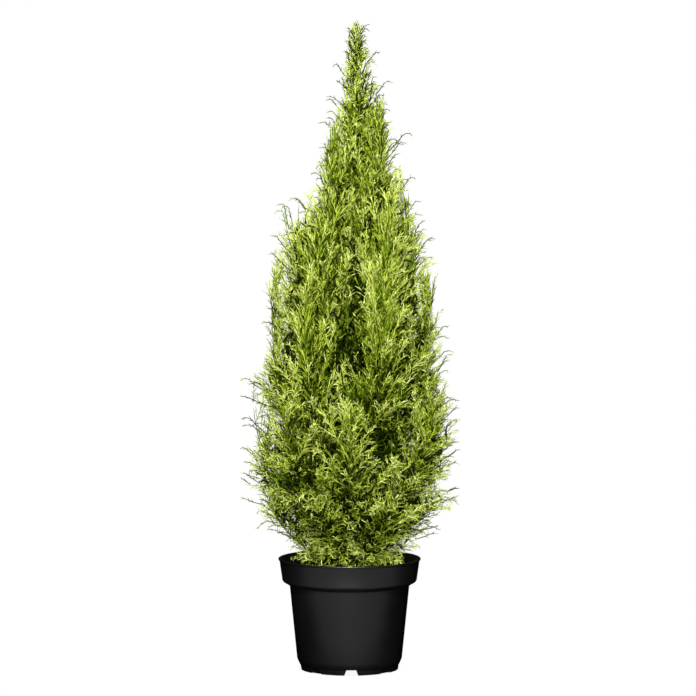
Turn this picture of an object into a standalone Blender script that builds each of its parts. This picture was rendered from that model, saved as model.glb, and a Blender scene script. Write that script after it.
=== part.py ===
# Potted lemon cypress: a flame-shaped conifer about a metre tall in a black nursery pot.
# Metres, +Z up. The origin is the middle of the pot's underside, on the floor it stands on.
#
# The pot and the soil are turned shapes. The trunk runs up the middle, tiers of boughs leave it,
# and each bough carries one plume of foliage: a stem with a slim core, twigs set round it by the
# golden angle, and toothed blades that stand for the sprays. Each plume keeps to the space that
# is nearer to its own stem than to any other.

import math
import random

import bmesh
import bpy
import numpy as np
from mathutils import Matrix, Vector

GAP = 0.0003  # kept between neighbouring pieces
FACETS = 32  # round the pot and the soil

# Pot
POT_HEIGHT = 0.176
RIM_RADIUS = 0.1125
RIM_BEAD = 0.0030  # width and height of the bead at the top edge
WALL = 0.0018
COLLAR_TOP_RADIUS = 0.1106
COLLAR_FOOT_RADIUS = 0.1065
COLLAR_FOOT_HEIGHT = 0.1436
SHOULDER_RADIUS = 0.0945  # where the collar's underside meets the body
SHOULDER_HEIGHT = 0.1330
BODY_FOOT_RADIUS = 0.0829
BODY_FOOT_HEIGHT = 0.0175
STEP_RADIUS = 0.0783  # below the chamfer, above the foot ring
STEP_HEIGHT = 0.0084
FOOT_RADIUS = 0.0769
FOOT_WALL = 0.0040
FLOOR_HEIGHT = 0.0095  # underside of the floor plate
HUB_RADIUS = 0.0200  # flat middle of the underside, level with the feet
NOTCHES = 8
NOTCH_FOOT_WIDTH = 0.0205
NOTCH_HEAD_WIDTH = 0.0140
NOTCH_HEIGHT = 0.0092
DRAIN_RADIUS = 0.0640  # circle that the drain holes lie on
DRAIN_HOLE_RADIUS = 0.0050

# Soil
SOIL_HEIGHT = 0.1500  # at the pot's wall
SOIL_RISE = 0.0030  # higher round the trunk's foot
SOIL_FLAT_RADIUS = 0.0200

# Trunk
TRUNK_FOOT = SOIL_HEIGHT + SOIL_RISE + GAP
TRUNK_TIP = 0.790
TRUNK_LEAN = 0.0120  # sideways drift of the leader, towards +X
TRUNK_FLARE_RADIUS = 0.0130
TRUNK_RADIUS = 0.0085  # above the root flare
TRUNK_TIP_RADIUS = 0.0018
TRUNK_JOINTS = 12

# Boughs, from the skirt over the pot up to the shoulders of the leader.
# root and tip are heights, reach is the distance of the tip from the trunk's line, bulge and rise
# place the bend of the bough, bare is the share of its length with no foliage, and plume is the
# radius of its foliage.
TIERS = (
    {"name": "skirt", "count": 7, "turn": -64, "root": 0.170, "tip": 0.275, "reach": 0.130,
     "bulge": 0.74, "rise": 0.08, "bare": 0.26, "plume": 0.060, "twigs": 5},
    {"name": "low", "count": 7, "turn": -86, "root": 0.212, "tip": 0.425, "reach": 0.150,
     "bulge": 0.92, "rise": 0.22, "bare": 0.27, "plume": 0.070, "twigs": 6},
    {"name": "middle", "count": 6, "turn": -120, "root": 0.285, "tip": 0.605, "reach": 0.124,
     "bulge": 1.10, "rise": 0.30, "bare": 0.26, "plume": 0.068, "twigs": 6},
    {"name": "upper", "count": 5, "turn": -126, "root": 0.395, "tip": 0.755, "reach": 0.090,
     "bulge": 1.20, "rise": 0.34, "bare": 0.24, "plume": 0.064, "twigs": 6},
    {"name": "crest", "count": 3, "turn": -150, "root": 0.560, "tip": 0.885, "reach": 0.042,
     "bulge": 1.30, "rise": 0.38, "bare": 0.20, "plume": 0.052, "twigs": 7},
)
TURN_JITTER = 5.0  # degrees
LENGTH_JITTER = 0.04
ROOT_SPREAD = 0.030  # height over which one tier's boughs leave the trunk
BOUGH_SHARE = 0.45  # a bough's radius at its foot over the trunk's there
BOUGH_TAPER = 0.55  # its radius at its tip over that at its foot
BOUGH_JOINTS = 4

# Foliage
CROWN = (  # height, and how far from the trunk's line the foliage may reach there
    (0.160, 0.100), (0.235, 0.150), (0.300, 0.170), (0.420, 0.170), (0.560, 0.142),
    (0.700, 0.112), (0.800, 0.078), (0.900, 0.048), (1.020, 0.006),
)
LEADER_TIP = 1.004
LEADER_PLUME = 0.046
LEADER_TWIGS = 9
STEM_TIP_RADIUS = 0.0009
CORE_SHARE = 0.37  # core radius over plume radius
CORE_RINGS = (0.05, 0.20, 0.45, 0.70, 0.92)  # their places along the stem
SPACE_MARGIN = 0.0012  # a plume stops this far short of its neighbour's space
LIMB_CLEARANCE = 0.0010
POT_CLEARANCE = 0.0040
GOLDEN_RATIO = (math.sqrt(5) - 1) / 2
GOLDEN_ANGLE = math.tau * (1 - GOLDEN_RATIO)
TWIG_ANGLE_FOOT = math.radians(50)
TWIG_ANGLE_TIP = math.radians(22)
TWIG_RADIUS = 0.0014
BLADE_WIDTH = 0.42  # of its length
TIP_BLADE_WIDTH = 0.24  # the same for the one that ends a plume
BLADE_THICKNESS = 0.0026
BLADE_SUNK = 0.0030  # how far a blade's foot is set back into what it grows from
FIT_TRIES = (1.0, 0.88, 0.77, 0.67, 0.58, 0.50, 0.43)  # a twig that doesn't fit its space is shortened so

BARK = (0.16, 0.10, 0.06)
GREEN = (0.30, 0.38, 0.05)
BLACK = (0.018, 0.018, 0.018)
BROWN = (0.035, 0.022, 0.014)


# ---------------------------------------------------------------- scene and helpers


def clear_scene():
    for thing in list(bpy.data.objects):
        bpy.data.objects.remove(thing)


def collection(name, hidden=False):
    made = bpy.data.collections.new(name)
    bpy.context.scene.collection.children.link(made)
    made.hide_render = hidden
    return made


def material(name, colour, roughness):
    made = bpy.data.materials.new(name)
    made.use_nodes = True
    shader = made.node_tree.nodes["Principled BSDF"]
    shader.inputs["Base Color"].default_value = (*colour, 1.0)
    shader.inputs["Roughness"].default_value = roughness
    shader.inputs["Metallic"].default_value = 0.0
    return made


def add_mesh(name, shape, where, finish=None):
    # shape is a bmesh, which is used up
    mesh = bpy.data.meshes.new(name)
    shape.to_mesh(mesh)
    shape.free()
    made = bpy.data.objects.new(name, mesh)
    where.objects.link(made)
    if finish:
        mesh.materials.append(finish)
    return made


def evaluated_mesh(thing):
    bpy.context.view_layer.update()
    graph = bpy.context.evaluated_depsgraph_get()
    return bpy.data.meshes.new_from_object(thing.evaluated_get(graph))


def turned(name, profile, where, finish):
    # the profile runs from the axis outwards, down the outer side and back to the axis
    shape = bmesh.new()
    points = [shape.verts.new((radius, 0.0, height)) for radius, height in profile]
    for first, second in zip(points, points[1:]):
        shape.edges.new((first, second))
    made = add_mesh(name, shape, where, finish)
    screw = made.modifiers.new("turn", "SCREW")
    screw.steps = screw.render_steps = FACETS
    screw.use_merge_vertices = True
    screw.merge_threshold = 0.00001
    return made


def tube(name, points, radii, where, resolution=1):
    # a limb along the points as a closed mesh with flat ends
    curve = bpy.data.curves.new(name, "CURVE")
    curve.dimensions = "3D"
    curve.bevel_depth = 1.0
    curve.bevel_resolution = resolution
    curve.use_fill_caps = True
    spline = curve.splines.new("POLY")
    spline.points.add(len(points) - 1)
    for knot, point, radius in zip(spline.points, points, radii):
        knot.co = (*point, 1.0)
        knot.radius = radius
    guide = bpy.data.objects.new(name + "_line", curve)
    where.objects.link(guide)
    made = bpy.data.objects.new(name, evaluated_mesh(guide))
    made.matrix_world = guide.matrix_world
    where.objects.link(made)
    bpy.data.objects.remove(guide)
    shape = bmesh.new()
    shape.from_mesh(made.data)
    bmesh.ops.remove_doubles(shape, verts=shape.verts, dist=0.000001)
    bmesh.ops.recalc_face_normals(shape, faces=shape.faces)
    shape.to_mesh(made.data)
    shape.free()
    return made


def boolean(target, operation, solver, other=None, others=None):
    modifier = target.modifiers.new(operation.lower(), "BOOLEAN")
    modifier.operation = operation
    modifier.solver = solver
    if others:
        modifier.operand_type = "COLLECTION"
        modifier.collection = others
    else:
        modifier.object = other
    return modifier


def apply_modifiers(thing, finish):
    mesh = evaluated_mesh(thing)
    thing.modifiers.clear()
    thing.data = mesh
    mesh.materials.clear()
    mesh.materials.append(finish)


# ---------------------------------------------------------------- pot and soil


def arc(centre, radius, first, last, steps):
    # points on an arc, angles in degrees from the outward direction
    found = []
    for step in range(steps + 1):
        angle = math.radians(first + (last - first) * step / steps)
        found.append((centre[0] + radius * math.cos(angle), centre[1] + radius * math.sin(angle)))
    return found


def pot_inside():
    # the inner surface, from the middle of the floor to the collar's top
    hub_side = HUB_RADIUS + FOOT_WALL / 2
    floor_top = FLOOR_HEIGHT + WALL
    floor_edge = STEP_RADIUS + (BODY_FOOT_RADIUS - STEP_RADIUS) * 0.3 - WALL
    return [
        (0.0, WALL),
        (HUB_RADIUS - WALL, WALL),
        (hub_side - WALL, floor_top),
        (floor_edge, floor_top),
        (BODY_FOOT_RADIUS - WALL, BODY_FOOT_HEIGHT),
        (SHOULDER_RADIUS - WALL, SHOULDER_HEIGHT + WALL / 2),
        (COLLAR_FOOT_RADIUS - WALL, COLLAR_FOOT_HEIGHT + WALL),
        (COLLAR_TOP_RADIUS - WALL, POT_HEIGHT - RIM_BEAD),
    ]


def pot_outside():
    # from the rim's inner edge over the bead, down the outside and in along the underside
    bead = RIM_BEAD / 2
    shoulder = arc((COLLAR_FOOT_RADIUS - 0.006, COLLAR_FOOT_HEIGHT), 0.006, 0, -75, 3)
    return [
        (RIM_RADIUS - RIM_BEAD, POT_HEIGHT - bead / 2),
        *arc((RIM_RADIUS - bead, POT_HEIGHT - bead), bead, 90, -30, 3),
        (COLLAR_TOP_RADIUS, POT_HEIGHT - 1.2 * RIM_BEAD),
        *shoulder,
        (SHOULDER_RADIUS, SHOULDER_HEIGHT),
        (BODY_FOOT_RADIUS, BODY_FOOT_HEIGHT),
        (STEP_RADIUS, STEP_HEIGHT),
        (FOOT_RADIUS, 0.0),
        (FOOT_RADIUS - FOOT_WALL, 0.0),
        (FOOT_RADIUS - FOOT_WALL, FLOOR_HEIGHT),
        (HUB_RADIUS + FOOT_WALL / 2, FLOOR_HEIGHT),
        (HUB_RADIUS, 0.0),
        (0.0, 0.0),
    ]


def foot_notch(index, where):
    # a wedge that opens the foot ring, wider at the floor than at its top
    shape = bmesh.new()
    bmesh.ops.create_cube(shape, size=1.0)
    for corner in shape.verts:
        below = corner.co.z < 0
        width = NOTCH_FOOT_WIDTH * 1.1 if below else NOTCH_HEAD_WIDTH
        corner.co.x = FOOT_RADIUS + (0.008 if corner.co.x > 0 else -0.012)
        corner.co.y = math.copysign(width / 2, corner.co.y)
        corner.co.z = -0.002 if below else NOTCH_HEIGHT
    turn = Matrix.Rotation(math.radians(360 / NOTCHES * index - 90), 4, "Z")
    bmesh.ops.transform(shape, matrix=turn, verts=shape.verts)
    add_mesh(f"notch_{index}", shape, where)


def drain_hole(index, where):
    shape = bmesh.new()
    turn = Matrix.Rotation(math.radians(360 / NOTCHES * index - 90), 4, "Z")
    place = turn @ Matrix.Translation((DRAIN_RADIUS, 0.0, FLOOR_HEIGHT))
    bmesh.ops.create_cone(shape, cap_ends=True, segments=8, radius1=DRAIN_HOLE_RADIUS,
                          radius2=DRAIN_HOLE_RADIUS, depth=4 * WALL, matrix=place)
    add_mesh(f"drain_{index}", shape, where)


def make_pot(where, cutters, finish):
    pot = turned("pot", pot_inside() + pot_outside(), where, finish)
    for index in range(NOTCHES):
        foot_notch(index, cutters)
        drain_hole(index, cutters)
    boolean(pot, "DIFFERENCE", "EXACT", others=cutters)
    return pot


def make_soil(where, finish):
    # fills the pot to just below the collar's top, a gap clear of its inner surface
    inner = pot_inside()
    (low_radius, low_height), (high_radius, high_height) = inner[-2], inner[-1]
    share = (SOIL_HEIGHT - low_height) / (high_height - low_height)
    edge = low_radius + share * (high_radius - low_radius)
    clear = 2 * GAP
    side = [(radius - clear, height + clear / 2) for radius, height in reversed(inner[3:-1])]
    under = [(radius - clear, height + clear) for radius, height in reversed(inner[1:3])]
    profile = [
        (0.0, SOIL_HEIGHT + SOIL_RISE),
        (SOIL_FLAT_RADIUS, SOIL_HEIGHT + SOIL_RISE),
        (edge - 2 * clear, SOIL_HEIGHT),
        *side,
        *under,
        (0.0, inner[0][1] + clear),
    ]
    return turned("soil", profile, where, finish)


# ---------------------------------------------------------------- limbs


def trunk_line(height):
    # the trunk's centre at a height: upright at the foot, leaning a little higher up
    share = max(0.0, (height - TRUNK_FOOT) / (LEADER_TIP - TRUNK_FOOT))
    sway = 0.003 * math.sin(math.tau * share) * share
    return Vector((TRUNK_LEAN * share**2 - sway, 0.5 * sway, height))


def trunk_radius(height):
    share = max(0.0, (height - TRUNK_FOOT) / (TRUNK_TIP - TRUNK_FOOT))
    flare = (TRUNK_FLARE_RADIUS - TRUNK_RADIUS) * math.exp(-share / 0.025)
    return TRUNK_RADIUS + (TRUNK_TIP_RADIUS - TRUNK_RADIUS) * share**0.85 + flare


def trunk_heights():
    # closer together in the root flare
    shares = [(step / TRUNK_JOINTS) ** 1.6 for step in range(TRUNK_JOINTS + 1)]
    return [TRUNK_FOOT + (TRUNK_TIP - TRUNK_FOOT) * share for share in shares]


def bezier(knots, share):
    # quadratic curve through its first and last knot
    first, bend, last = knots
    return first * (1 - share) ** 2 + bend * 2 * share * (1 - share) + last * share**2


def bezier_direction(knots, share):
    first, bend, last = knots
    return ((bend - first) * (1 - share) + (last - bend) * share).normalized()


def plan_boughs():
    # one dictionary for each bough, from the lowest tier up
    plans = []
    for number, tier in enumerate(TIERS):
        for index in range(tier["count"]):
            chance = random.Random(100 * number + index)
            turn = tier["turn"] + 360 / tier["count"] * index + chance.uniform(-1, 1) * TURN_JITTER
            out = Vector((math.cos(math.radians(turn)), math.sin(math.radians(turn)), 0.0))
            root = tier["root"] + ROOT_SPREAD * (index * GOLDEN_RATIO % 1)
            length = 1 + chance.uniform(-1, 1) * LENGTH_JITTER
            tip = root + (tier["tip"] - root) * length
            reach = tier["reach"] * (1 + chance.uniform(-1, 1) * LENGTH_JITTER)
            bend_height = root + (tip - root) * tier["rise"]
            knots = (
                trunk_line(root),
                trunk_line(bend_height) + out * reach * tier["bulge"],
                trunk_line(tip) + out * reach,
            )
            plans.append({"name": f"{tier['name']}_{index + 1}", "knots": knots,
                          "bare": tier["bare"], "plume": tier["plume"],
                          "twigs": tier["twigs"], "seed": 100 * number + index,
                          "radius": BOUGH_SHARE * trunk_radius(root)})
    return plans


def plan_leader():
    # the plume that carries on from the trunk's tip
    foot, tip = trunk_line(TRUNK_TIP), trunk_line(LEADER_TIP)
    return {"name": "leader", "knots": (foot, (foot + tip) / 2, tip), "bare": 0.0,
            "plume": LEADER_PLUME, "twigs": LEADER_TWIGS, "seed": 990,
            "radius": TRUNK_TIP_RADIUS / BOUGH_TAPER}


def stem_points(plan, joints):
    # the plume's stem, from just past the bough's tip; its first stretch is straight on
    start = bezier(plan["knots"], plan["bare"])
    along = bezier_direction(plan["knots"], plan["bare"])
    points = [start + along * GAP, start + along * (GAP + 0.004)]
    for step in range(1, joints + 1):
        share = plan["bare"] + (1 - plan["bare"]) * step / joints
        points.append(bezier(plan["knots"], share))
    return points


def bough_points(plan):
    end = bezier(plan["knots"], plan["bare"])
    along = bezier_direction(plan["knots"], plan["bare"])
    points = [bezier(plan["knots"], plan["bare"] * step / BOUGH_JOINTS) for step in range(BOUGH_JOINTS)]
    return points + [end - along * 0.004, end]


def bough_radii(plan, count):
    return [plan["radius"] * (1 + (BOUGH_TAPER - 1) * step / (count - 1)) for step in range(count)]


def make_trunk(where, finish):
    heights = trunk_heights()
    points = [trunk_line(height) for height in heights]
    points[0] = Vector((points[1].x, points[1].y, points[0].z))
    trunk = tube("trunk", points, [trunk_radius(height) for height in heights], where, 2)
    trunk.data.materials.append(finish)
    return trunk


def make_trunk_cutter(where):
    # the trunk grown by the gap, to saddle the boughs' ends on it
    heights = trunk_heights()
    points = [trunk_line(height) for height in heights]
    points[0] = Vector((points[1].x, points[1].y, points[0].z))
    return tube("trunk_cutter", points, [trunk_radius(height) + GAP for height in heights], where, 2)


def make_bough(plan, cutter, where, finish):
    points = bough_points(plan)
    bough = tube("bough_" + plan["name"], points, bough_radii(plan, len(points)), where, 0)
    boolean(bough, "DIFFERENCE", "MANIFOLD", other=cutter)
    apply_modifiers(bough, finish)
    return bough


# ---------------------------------------------------------------- the plumes' space


class Space:
    # which points belong to a plume: nearest to its own stem, and clear of limbs and pot

    def __init__(self, plans, boughs):
        self.stems = [self.segments(stem_points(plan, 8)) for plan in plans]
        limbs = []
        heights = trunk_heights()
        lines = [([trunk_line(height) for height in heights],
                  [trunk_radius(height) for height in heights])]
        for plan in boughs:
            points = bough_points(plan)
            lines.append((points, bough_radii(plan, len(points))))
        for points, radii in lines:
            for index in range(len(points) - 1):
                limbs.append((points[index], points[index + 1], max(radii[index], radii[index + 1])))
        self.limb_from = np.array([limb[0] for limb in limbs])
        self.limb_to = np.array([limb[1] for limb in limbs])
        self.limb_radius = np.array([limb[2] for limb in limbs])
        self.drift = [(height, trunk_line(height).x) for height, _ in CROWN]

    @staticmethod
    def segments(points):
        line = np.array(points)
        return line[:-1], line[1:]

    @staticmethod
    def distances(points, first, last):
        # from each point to each segment
        along = last - first
        offset = points[:, None, :] - first[None]
        share = np.clip((offset * along).sum(2) / (along**2).sum(1), 0, 1)
        return np.linalg.norm(offset - share[..., None] * along[None], axis=2)

    def to_stems(self, points):
        points = np.array(points, float).reshape(-1, 3)
        return np.array([self.distances(points, *stem).min(1) for stem in self.stems])

    def room(self, owner, points):
        # how far each point is inside the owner's space, limbs and pot counted
        points = np.array(points, float).reshape(-1, 3)
        away = self.to_stems(points)
        own = away[owner].copy()
        away[owner] = 1.0
        room = (away.min(0) - own) / 2 - SPACE_MARGIN
        limbs = self.distances(points, self.limb_from, self.limb_to) - self.limb_radius
        room = np.minimum(room, limbs.min(1) - LIMB_CLEARANCE)
        across = np.hypot(points[:, 0], points[:, 1])
        inside = np.minimum(COLLAR_FOOT_RADIUS - across, points[:, 2] - SOIL_HEIGHT - SOIL_RISE)
        above = points[:, 2] - POT_HEIGHT
        room = np.minimum(room, np.maximum(inside, above) - POT_CLEARANCE)
        reach = np.interp(points[:, 2], *zip(*CROWN), right=-1.0)
        drift = np.interp(points[:, 2], *zip(*self.drift))
        return np.minimum(room, reach - np.hypot(points[:, 0] - drift, points[:, 1]))


# ---------------------------------------------------------------- foliage


def plume_radius(plan, share):
    # a flame: full low down, closing to the tip
    return plan["plume"] * max(0.22, math.sin(math.pi * (0.20 + 0.80 * share) ** 0.75))


def stem_point(plan, share):
    return bezier(plan["knots"], plan["bare"] + (1 - plan["bare"]) * share)


def stem_direction(plan, share):
    return bezier_direction(plan["knots"], plan["bare"] + (1 - plan["bare"]) * share)


def twig_frames(plan):
    # start, direction, length and side of each twig, set round the stem by the golden angle
    chance = random.Random(plan["seed"])
    spin = chance.uniform(0, math.tau)
    frames = []
    for index in range(plan["twigs"]):
        share = 0.06 + 0.86 * (index + 0.5) / plan["twigs"]
        along = stem_direction(plan, share)
        across = along.orthogonal().normalized()
        across.rotate(Matrix.Rotation(spin + GOLDEN_ANGLE * index, 3, along))
        angle = TWIG_ANGLE_FOOT + (TWIG_ANGLE_TIP - TWIG_ANGLE_FOOT) * share
        direction = (along * math.cos(angle) + across * math.sin(angle)).normalized()
        length = plume_radius(plan, share) * 1.1 / math.sin(angle) * chance.uniform(0.9, 1.1)
        side = direction.cross(along).normalized()
        side.rotate(Matrix.Rotation(chance.uniform(-0.6, 0.6), 3, direction))
        frames.append((stem_point(plan, share), direction, length, side))
    return frames


def blade_outline():
    # root, then tooth and notch up one side to the tip and down the other; length and half width 1
    side = [(-0.12, 1.00), (0.02, 0.40), (0.50, 0.60)]
    return [(-1.0, 0.0), *side, (1.0, 0.0), *[(x, -y) for x, y in reversed(side)]]


def make_blade(name, start, direction, length, side, width, where):
    # a flattened double pyramid, its girdle drawn out to the toothed outline
    outline = blade_outline()
    shape = bmesh.new()
    bmesh.ops.create_uvsphere(shape, u_segments=len(outline), v_segments=2, radius=1.0)
    girdle = sorted((corner for corner in shape.verts if abs(corner.co.z) < 0.5),
                    key=lambda corner: math.atan2(corner.co.y, corner.co.x) % math.tau)
    for corner, (x, y) in zip(girdle, reversed(outline)):
        corner.co = (x * length / 2, y * length * width / 2, 0.0)
    for corner in shape.verts:
        if corner not in girdle:
            corner.co = (0.0, 0.0, math.copysign(BLADE_THICKNESS / 2, corner.co.z))
    across = side.cross(direction).normalized()
    place = Matrix((direction, across, side)).transposed().to_4x4()
    place.translation = start + direction * length / 2
    bmesh.ops.transform(shape, matrix=place, verts=shape.verts)
    bmesh.ops.recalc_face_normals(shape, faces=shape.faces)
    made = add_mesh(name, shape, where)
    return made


def blade_corners(start, direction, length, side):
    across = side.cross(direction).normalized() * length * BLADE_WIDTH / 2
    middle = start + direction * length / 2
    return [middle + direction * x * length / 2 + across * y for x, y in blade_outline()[1:]]


def make_twig(name, start, direction, length, where):
    shape = bmesh.new()
    turn = direction.to_track_quat("Z", "Y").to_matrix().to_4x4()
    place = Matrix.Translation(start + direction * length / 2) @ turn
    bmesh.ops.create_cone(shape, cap_ends=True, segments=3, radius1=TWIG_RADIUS,
                          radius2=0.0, depth=length, matrix=place)
    return add_mesh(name, shape, where)


def fitted(space, owner, start, direction, length, side):
    # the longest try whose blade stays in the plume's space, or nothing
    for share in FIT_TRIES:
        tried = length * share
        foot = start + direction * tried * 0.22
        corners = blade_corners(foot, direction, tried * 0.78, side)
        if space.room(owner, corners).min() > 0:
            return tried
    return 0.0


def core_rings(space, owner, plan):
    # centre and radius of the core's rings, no wider than the space allows
    rings = []
    for share in CORE_RINGS:
        centre = stem_point(plan, share)
        wanted = plume_radius(plan, share) * CORE_SHARE
        if share in (CORE_RINGS[0], CORE_RINGS[-1]):
            wanted *= 0.35
        away = space.to_stems([centre])[:, 0]
        away[owner] = 1.0
        limit = away.min() / 2 - SPACE_MARGIN
        room = space.room(owner, [centre])[0] if share > 0.1 else limit
        rings.append((centre, max(STEM_TIP_RADIUS, min(wanted, limit, room))))
    return rings


def make_plume(space, owner, plan, where, finish):
    parts = collection("parts_of_" + plan["name"])
    points = stem_points(plan, 4)
    stem = tube("foliage_" + plan["name"], points[:4], (plan["radius"] * BOUGH_TAPER,) * 3 + (STEM_TIP_RADIUS,), where, 0)
    rings = core_rings(space, owner, plan)
    tube("core", [centre for centre, _ in rings], [radius for _, radius in rings], parts, 1)
    root = stem_point(plan, 0.84)
    end = stem_point(plan, 1.0) + stem_direction(plan, 1.0) * plan["plume"] * 0.4
    along = (end - root).normalized()
    blades = [(root, along, (end - root).length, along.orthogonal(), TIP_BLADE_WIDTH)]
    for index, (start, direction, length, side) in enumerate(twig_frames(plan)):
        length = fitted(space, owner, start, direction, length, side)
        if length == 0.0:
            continue
        make_twig(f"twig_{index}", start, direction, length * 0.6, parts)
        foot = start + direction * length * 0.22
        blades.append((foot, direction, length * 0.78, side, BLADE_WIDTH))
        swung = direction.copy()
        swung.rotate(Matrix.Rotation(0.6 if index % 2 else -0.6, 3, side))
        foot = start + direction * length * 0.34
        short = length * 0.55
        if space.room(owner, blade_corners(foot, swung, short, side)).min() > 0:
            blades.append((foot, swung, short, side, BLADE_WIDTH))
    for index, (start, direction, length, side, width) in enumerate(blades):
        side = (side - direction * side.dot(direction)).normalized()
        start = start - direction * BLADE_SUNK
        make_blade(f"blade_{index}", start, direction, length, side, width, parts)
    boolean(stem, "UNION", "MANIFOLD", others=parts)
    apply_modifiers(stem, finish)
    for part in list(parts.objects):
        bpy.data.objects.remove(part)
    bpy.data.collections.remove(parts)
    drop_scraps(stem)
    return stem


def drop_scraps(thing):
    # keeps the largest of the mesh's loose parts
    shape = bmesh.new()
    shape.from_mesh(thing.data)
    left, groups = set(shape.verts), []
    while left:
        group, edge = set(), [left.pop()]
        while edge:
            corner = edge.pop()
            group.add(corner)
            for link in corner.link_edges:
                other = link.other_vert(corner)
                if other in left:
                    left.discard(other)
                    edge.append(other)
        groups.append(group)
    keep = max(groups, key=len)
    bmesh.ops.delete(shape, geom=[corner for corner in shape.verts if corner not in keep], context="VERTS")
    shape.to_mesh(thing.data)
    shape.free()


def main():
    clear_scene()
    plant = collection("potted_lemon_cypress")
    cutters = collection("cutters", hidden=True)
    plastic = material("black_plastic", BLACK, 0.45)
    earth = material("potting_soil", BROWN, 0.95)
    bark = material("bark", BARK, 0.85)
    needles = material("needles", GREEN, 0.6)
    make_trunk(plant, bark)
    boughs = plan_boughs()
    plans = boughs + [plan_leader()]
    limb_cutters = collection("limb_cutters", hidden=True)
    cutter = make_trunk_cutter(limb_cutters)
    for plan in boughs:
        make_bough(plan, cutter, plant, bark)
    space = Space(plans, boughs)
    for owner, plan in enumerate(plans):
        make_plume(space, owner, plan, plant, needles)
    make_soil(plant, earth)
    make_pot(plant, cutters, plastic)
    for hidden in (cutters, limb_cutters):
        for thing in hidden.objects:
            thing.hide_render = True
            thing.display_type = "WIRE"


main()
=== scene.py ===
# Dresses the potted lemon cypress: pot, soil, bark and fine foliage round the fixed CAD frame
import math
import random

import bpy
import numpy as np
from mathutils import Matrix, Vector, noise


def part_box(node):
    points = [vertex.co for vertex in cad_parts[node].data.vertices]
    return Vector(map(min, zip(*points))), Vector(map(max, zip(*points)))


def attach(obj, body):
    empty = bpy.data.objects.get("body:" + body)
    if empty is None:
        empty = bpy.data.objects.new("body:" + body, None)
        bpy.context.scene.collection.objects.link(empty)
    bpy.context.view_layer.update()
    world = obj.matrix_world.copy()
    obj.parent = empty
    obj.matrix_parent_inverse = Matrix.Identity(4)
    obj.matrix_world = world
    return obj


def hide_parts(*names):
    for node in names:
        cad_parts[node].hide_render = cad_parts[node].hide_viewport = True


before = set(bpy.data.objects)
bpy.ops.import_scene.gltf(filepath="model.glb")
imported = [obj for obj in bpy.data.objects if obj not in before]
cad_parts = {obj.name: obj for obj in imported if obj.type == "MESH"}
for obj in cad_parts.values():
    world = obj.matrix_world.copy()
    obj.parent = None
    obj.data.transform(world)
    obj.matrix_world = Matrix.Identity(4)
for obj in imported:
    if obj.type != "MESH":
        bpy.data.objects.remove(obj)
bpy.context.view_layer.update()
print("frame loaded:", len(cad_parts), "nodes")

goldenRatio = (math.sqrt(5) - 1) / 2
goldenAngle = math.tau * (1 - goldenRatio)


# small helpers for working in edit mode

def clearSelection():
    if bpy.context.mode != "OBJECT":
        bpy.ops.object.mode_set(mode="OBJECT")
    bpy.ops.object.select_all(action="DESELECT")


def makeActive(piece):
    clearSelection()
    piece.select_set(True)
    bpy.context.view_layer.objects.active = piece


def applyPlace(piece):
    # the object goes to the origin, its place goes into the mesh
    makeActive(piece)
    bpy.ops.object.transform_apply(location=True, rotation=True, scale=True)


def applyAll(piece):
    makeActive(piece)
    for modifier in list(piece.modifiers):
        bpy.ops.object.modifier_apply(modifier=modifier.name)


def lathe(name, rings, segments):
    # a filled circle extruded ring by ring: each ring is (radius, height)
    clearSelection()
    (radius, height), rest = rings[0], rings[1:]
    bpy.ops.mesh.primitive_circle_add(vertices=segments, radius=radius, fill_type="NGON",
                                      location=(0, 0, height))
    piece = bpy.context.object
    piece.name = name
    applyPlace(piece)
    bpy.ops.object.mode_set(mode="EDIT")
    bpy.ops.mesh.select_all(action="SELECT")
    for nextRadius, nextHeight in rest:
        bpy.ops.mesh.extrude_region_move(
            TRANSFORM_OT_translate={"value": (0, 0, nextHeight - height)})
        grow = nextRadius / radius
        bpy.ops.transform.resize(value=(grow, grow, 1))
        radius, height = nextRadius, nextHeight
    bpy.ops.mesh.select_all(action="SELECT")
    bpy.ops.mesh.normals_make_consistent(inside=False)
    bpy.ops.object.mode_set(mode="OBJECT")
    return piece


def arcRings(centre, radius, firstAngle, lastAngle, steps):
    # rings round a quarter or so of a bead, angles in degrees from straight out
    angles = np.radians(np.linspace(firstAngle, lastAngle, steps + 1))
    return [(centre[0] + radius * math.cos(a), centre[1] + radius * math.sin(a)) for a in angles]


def joinPieces(pieces, name):
    clearSelection()
    for piece in pieces:
        piece.select_set(True)
    bpy.context.view_layer.objects.active = pieces[0]
    bpy.ops.object.join()
    pieces[0].name = name
    return pieces[0]


def smoothBelow(piece, degrees):
    makeActive(piece)
    bpy.ops.object.shade_smooth_by_angle(angle=math.radians(degrees))


def setInputs(node, values):
    for label, value in values.items():
        node.inputs[label].default_value = value


def finishPiece(piece, material, nodes=()):
    piece.data.materials.clear()
    piece.data.materials.append(material)
    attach(piece, "root")
    if nodes:
        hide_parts(*nodes)


# camera, lights and floor

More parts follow.
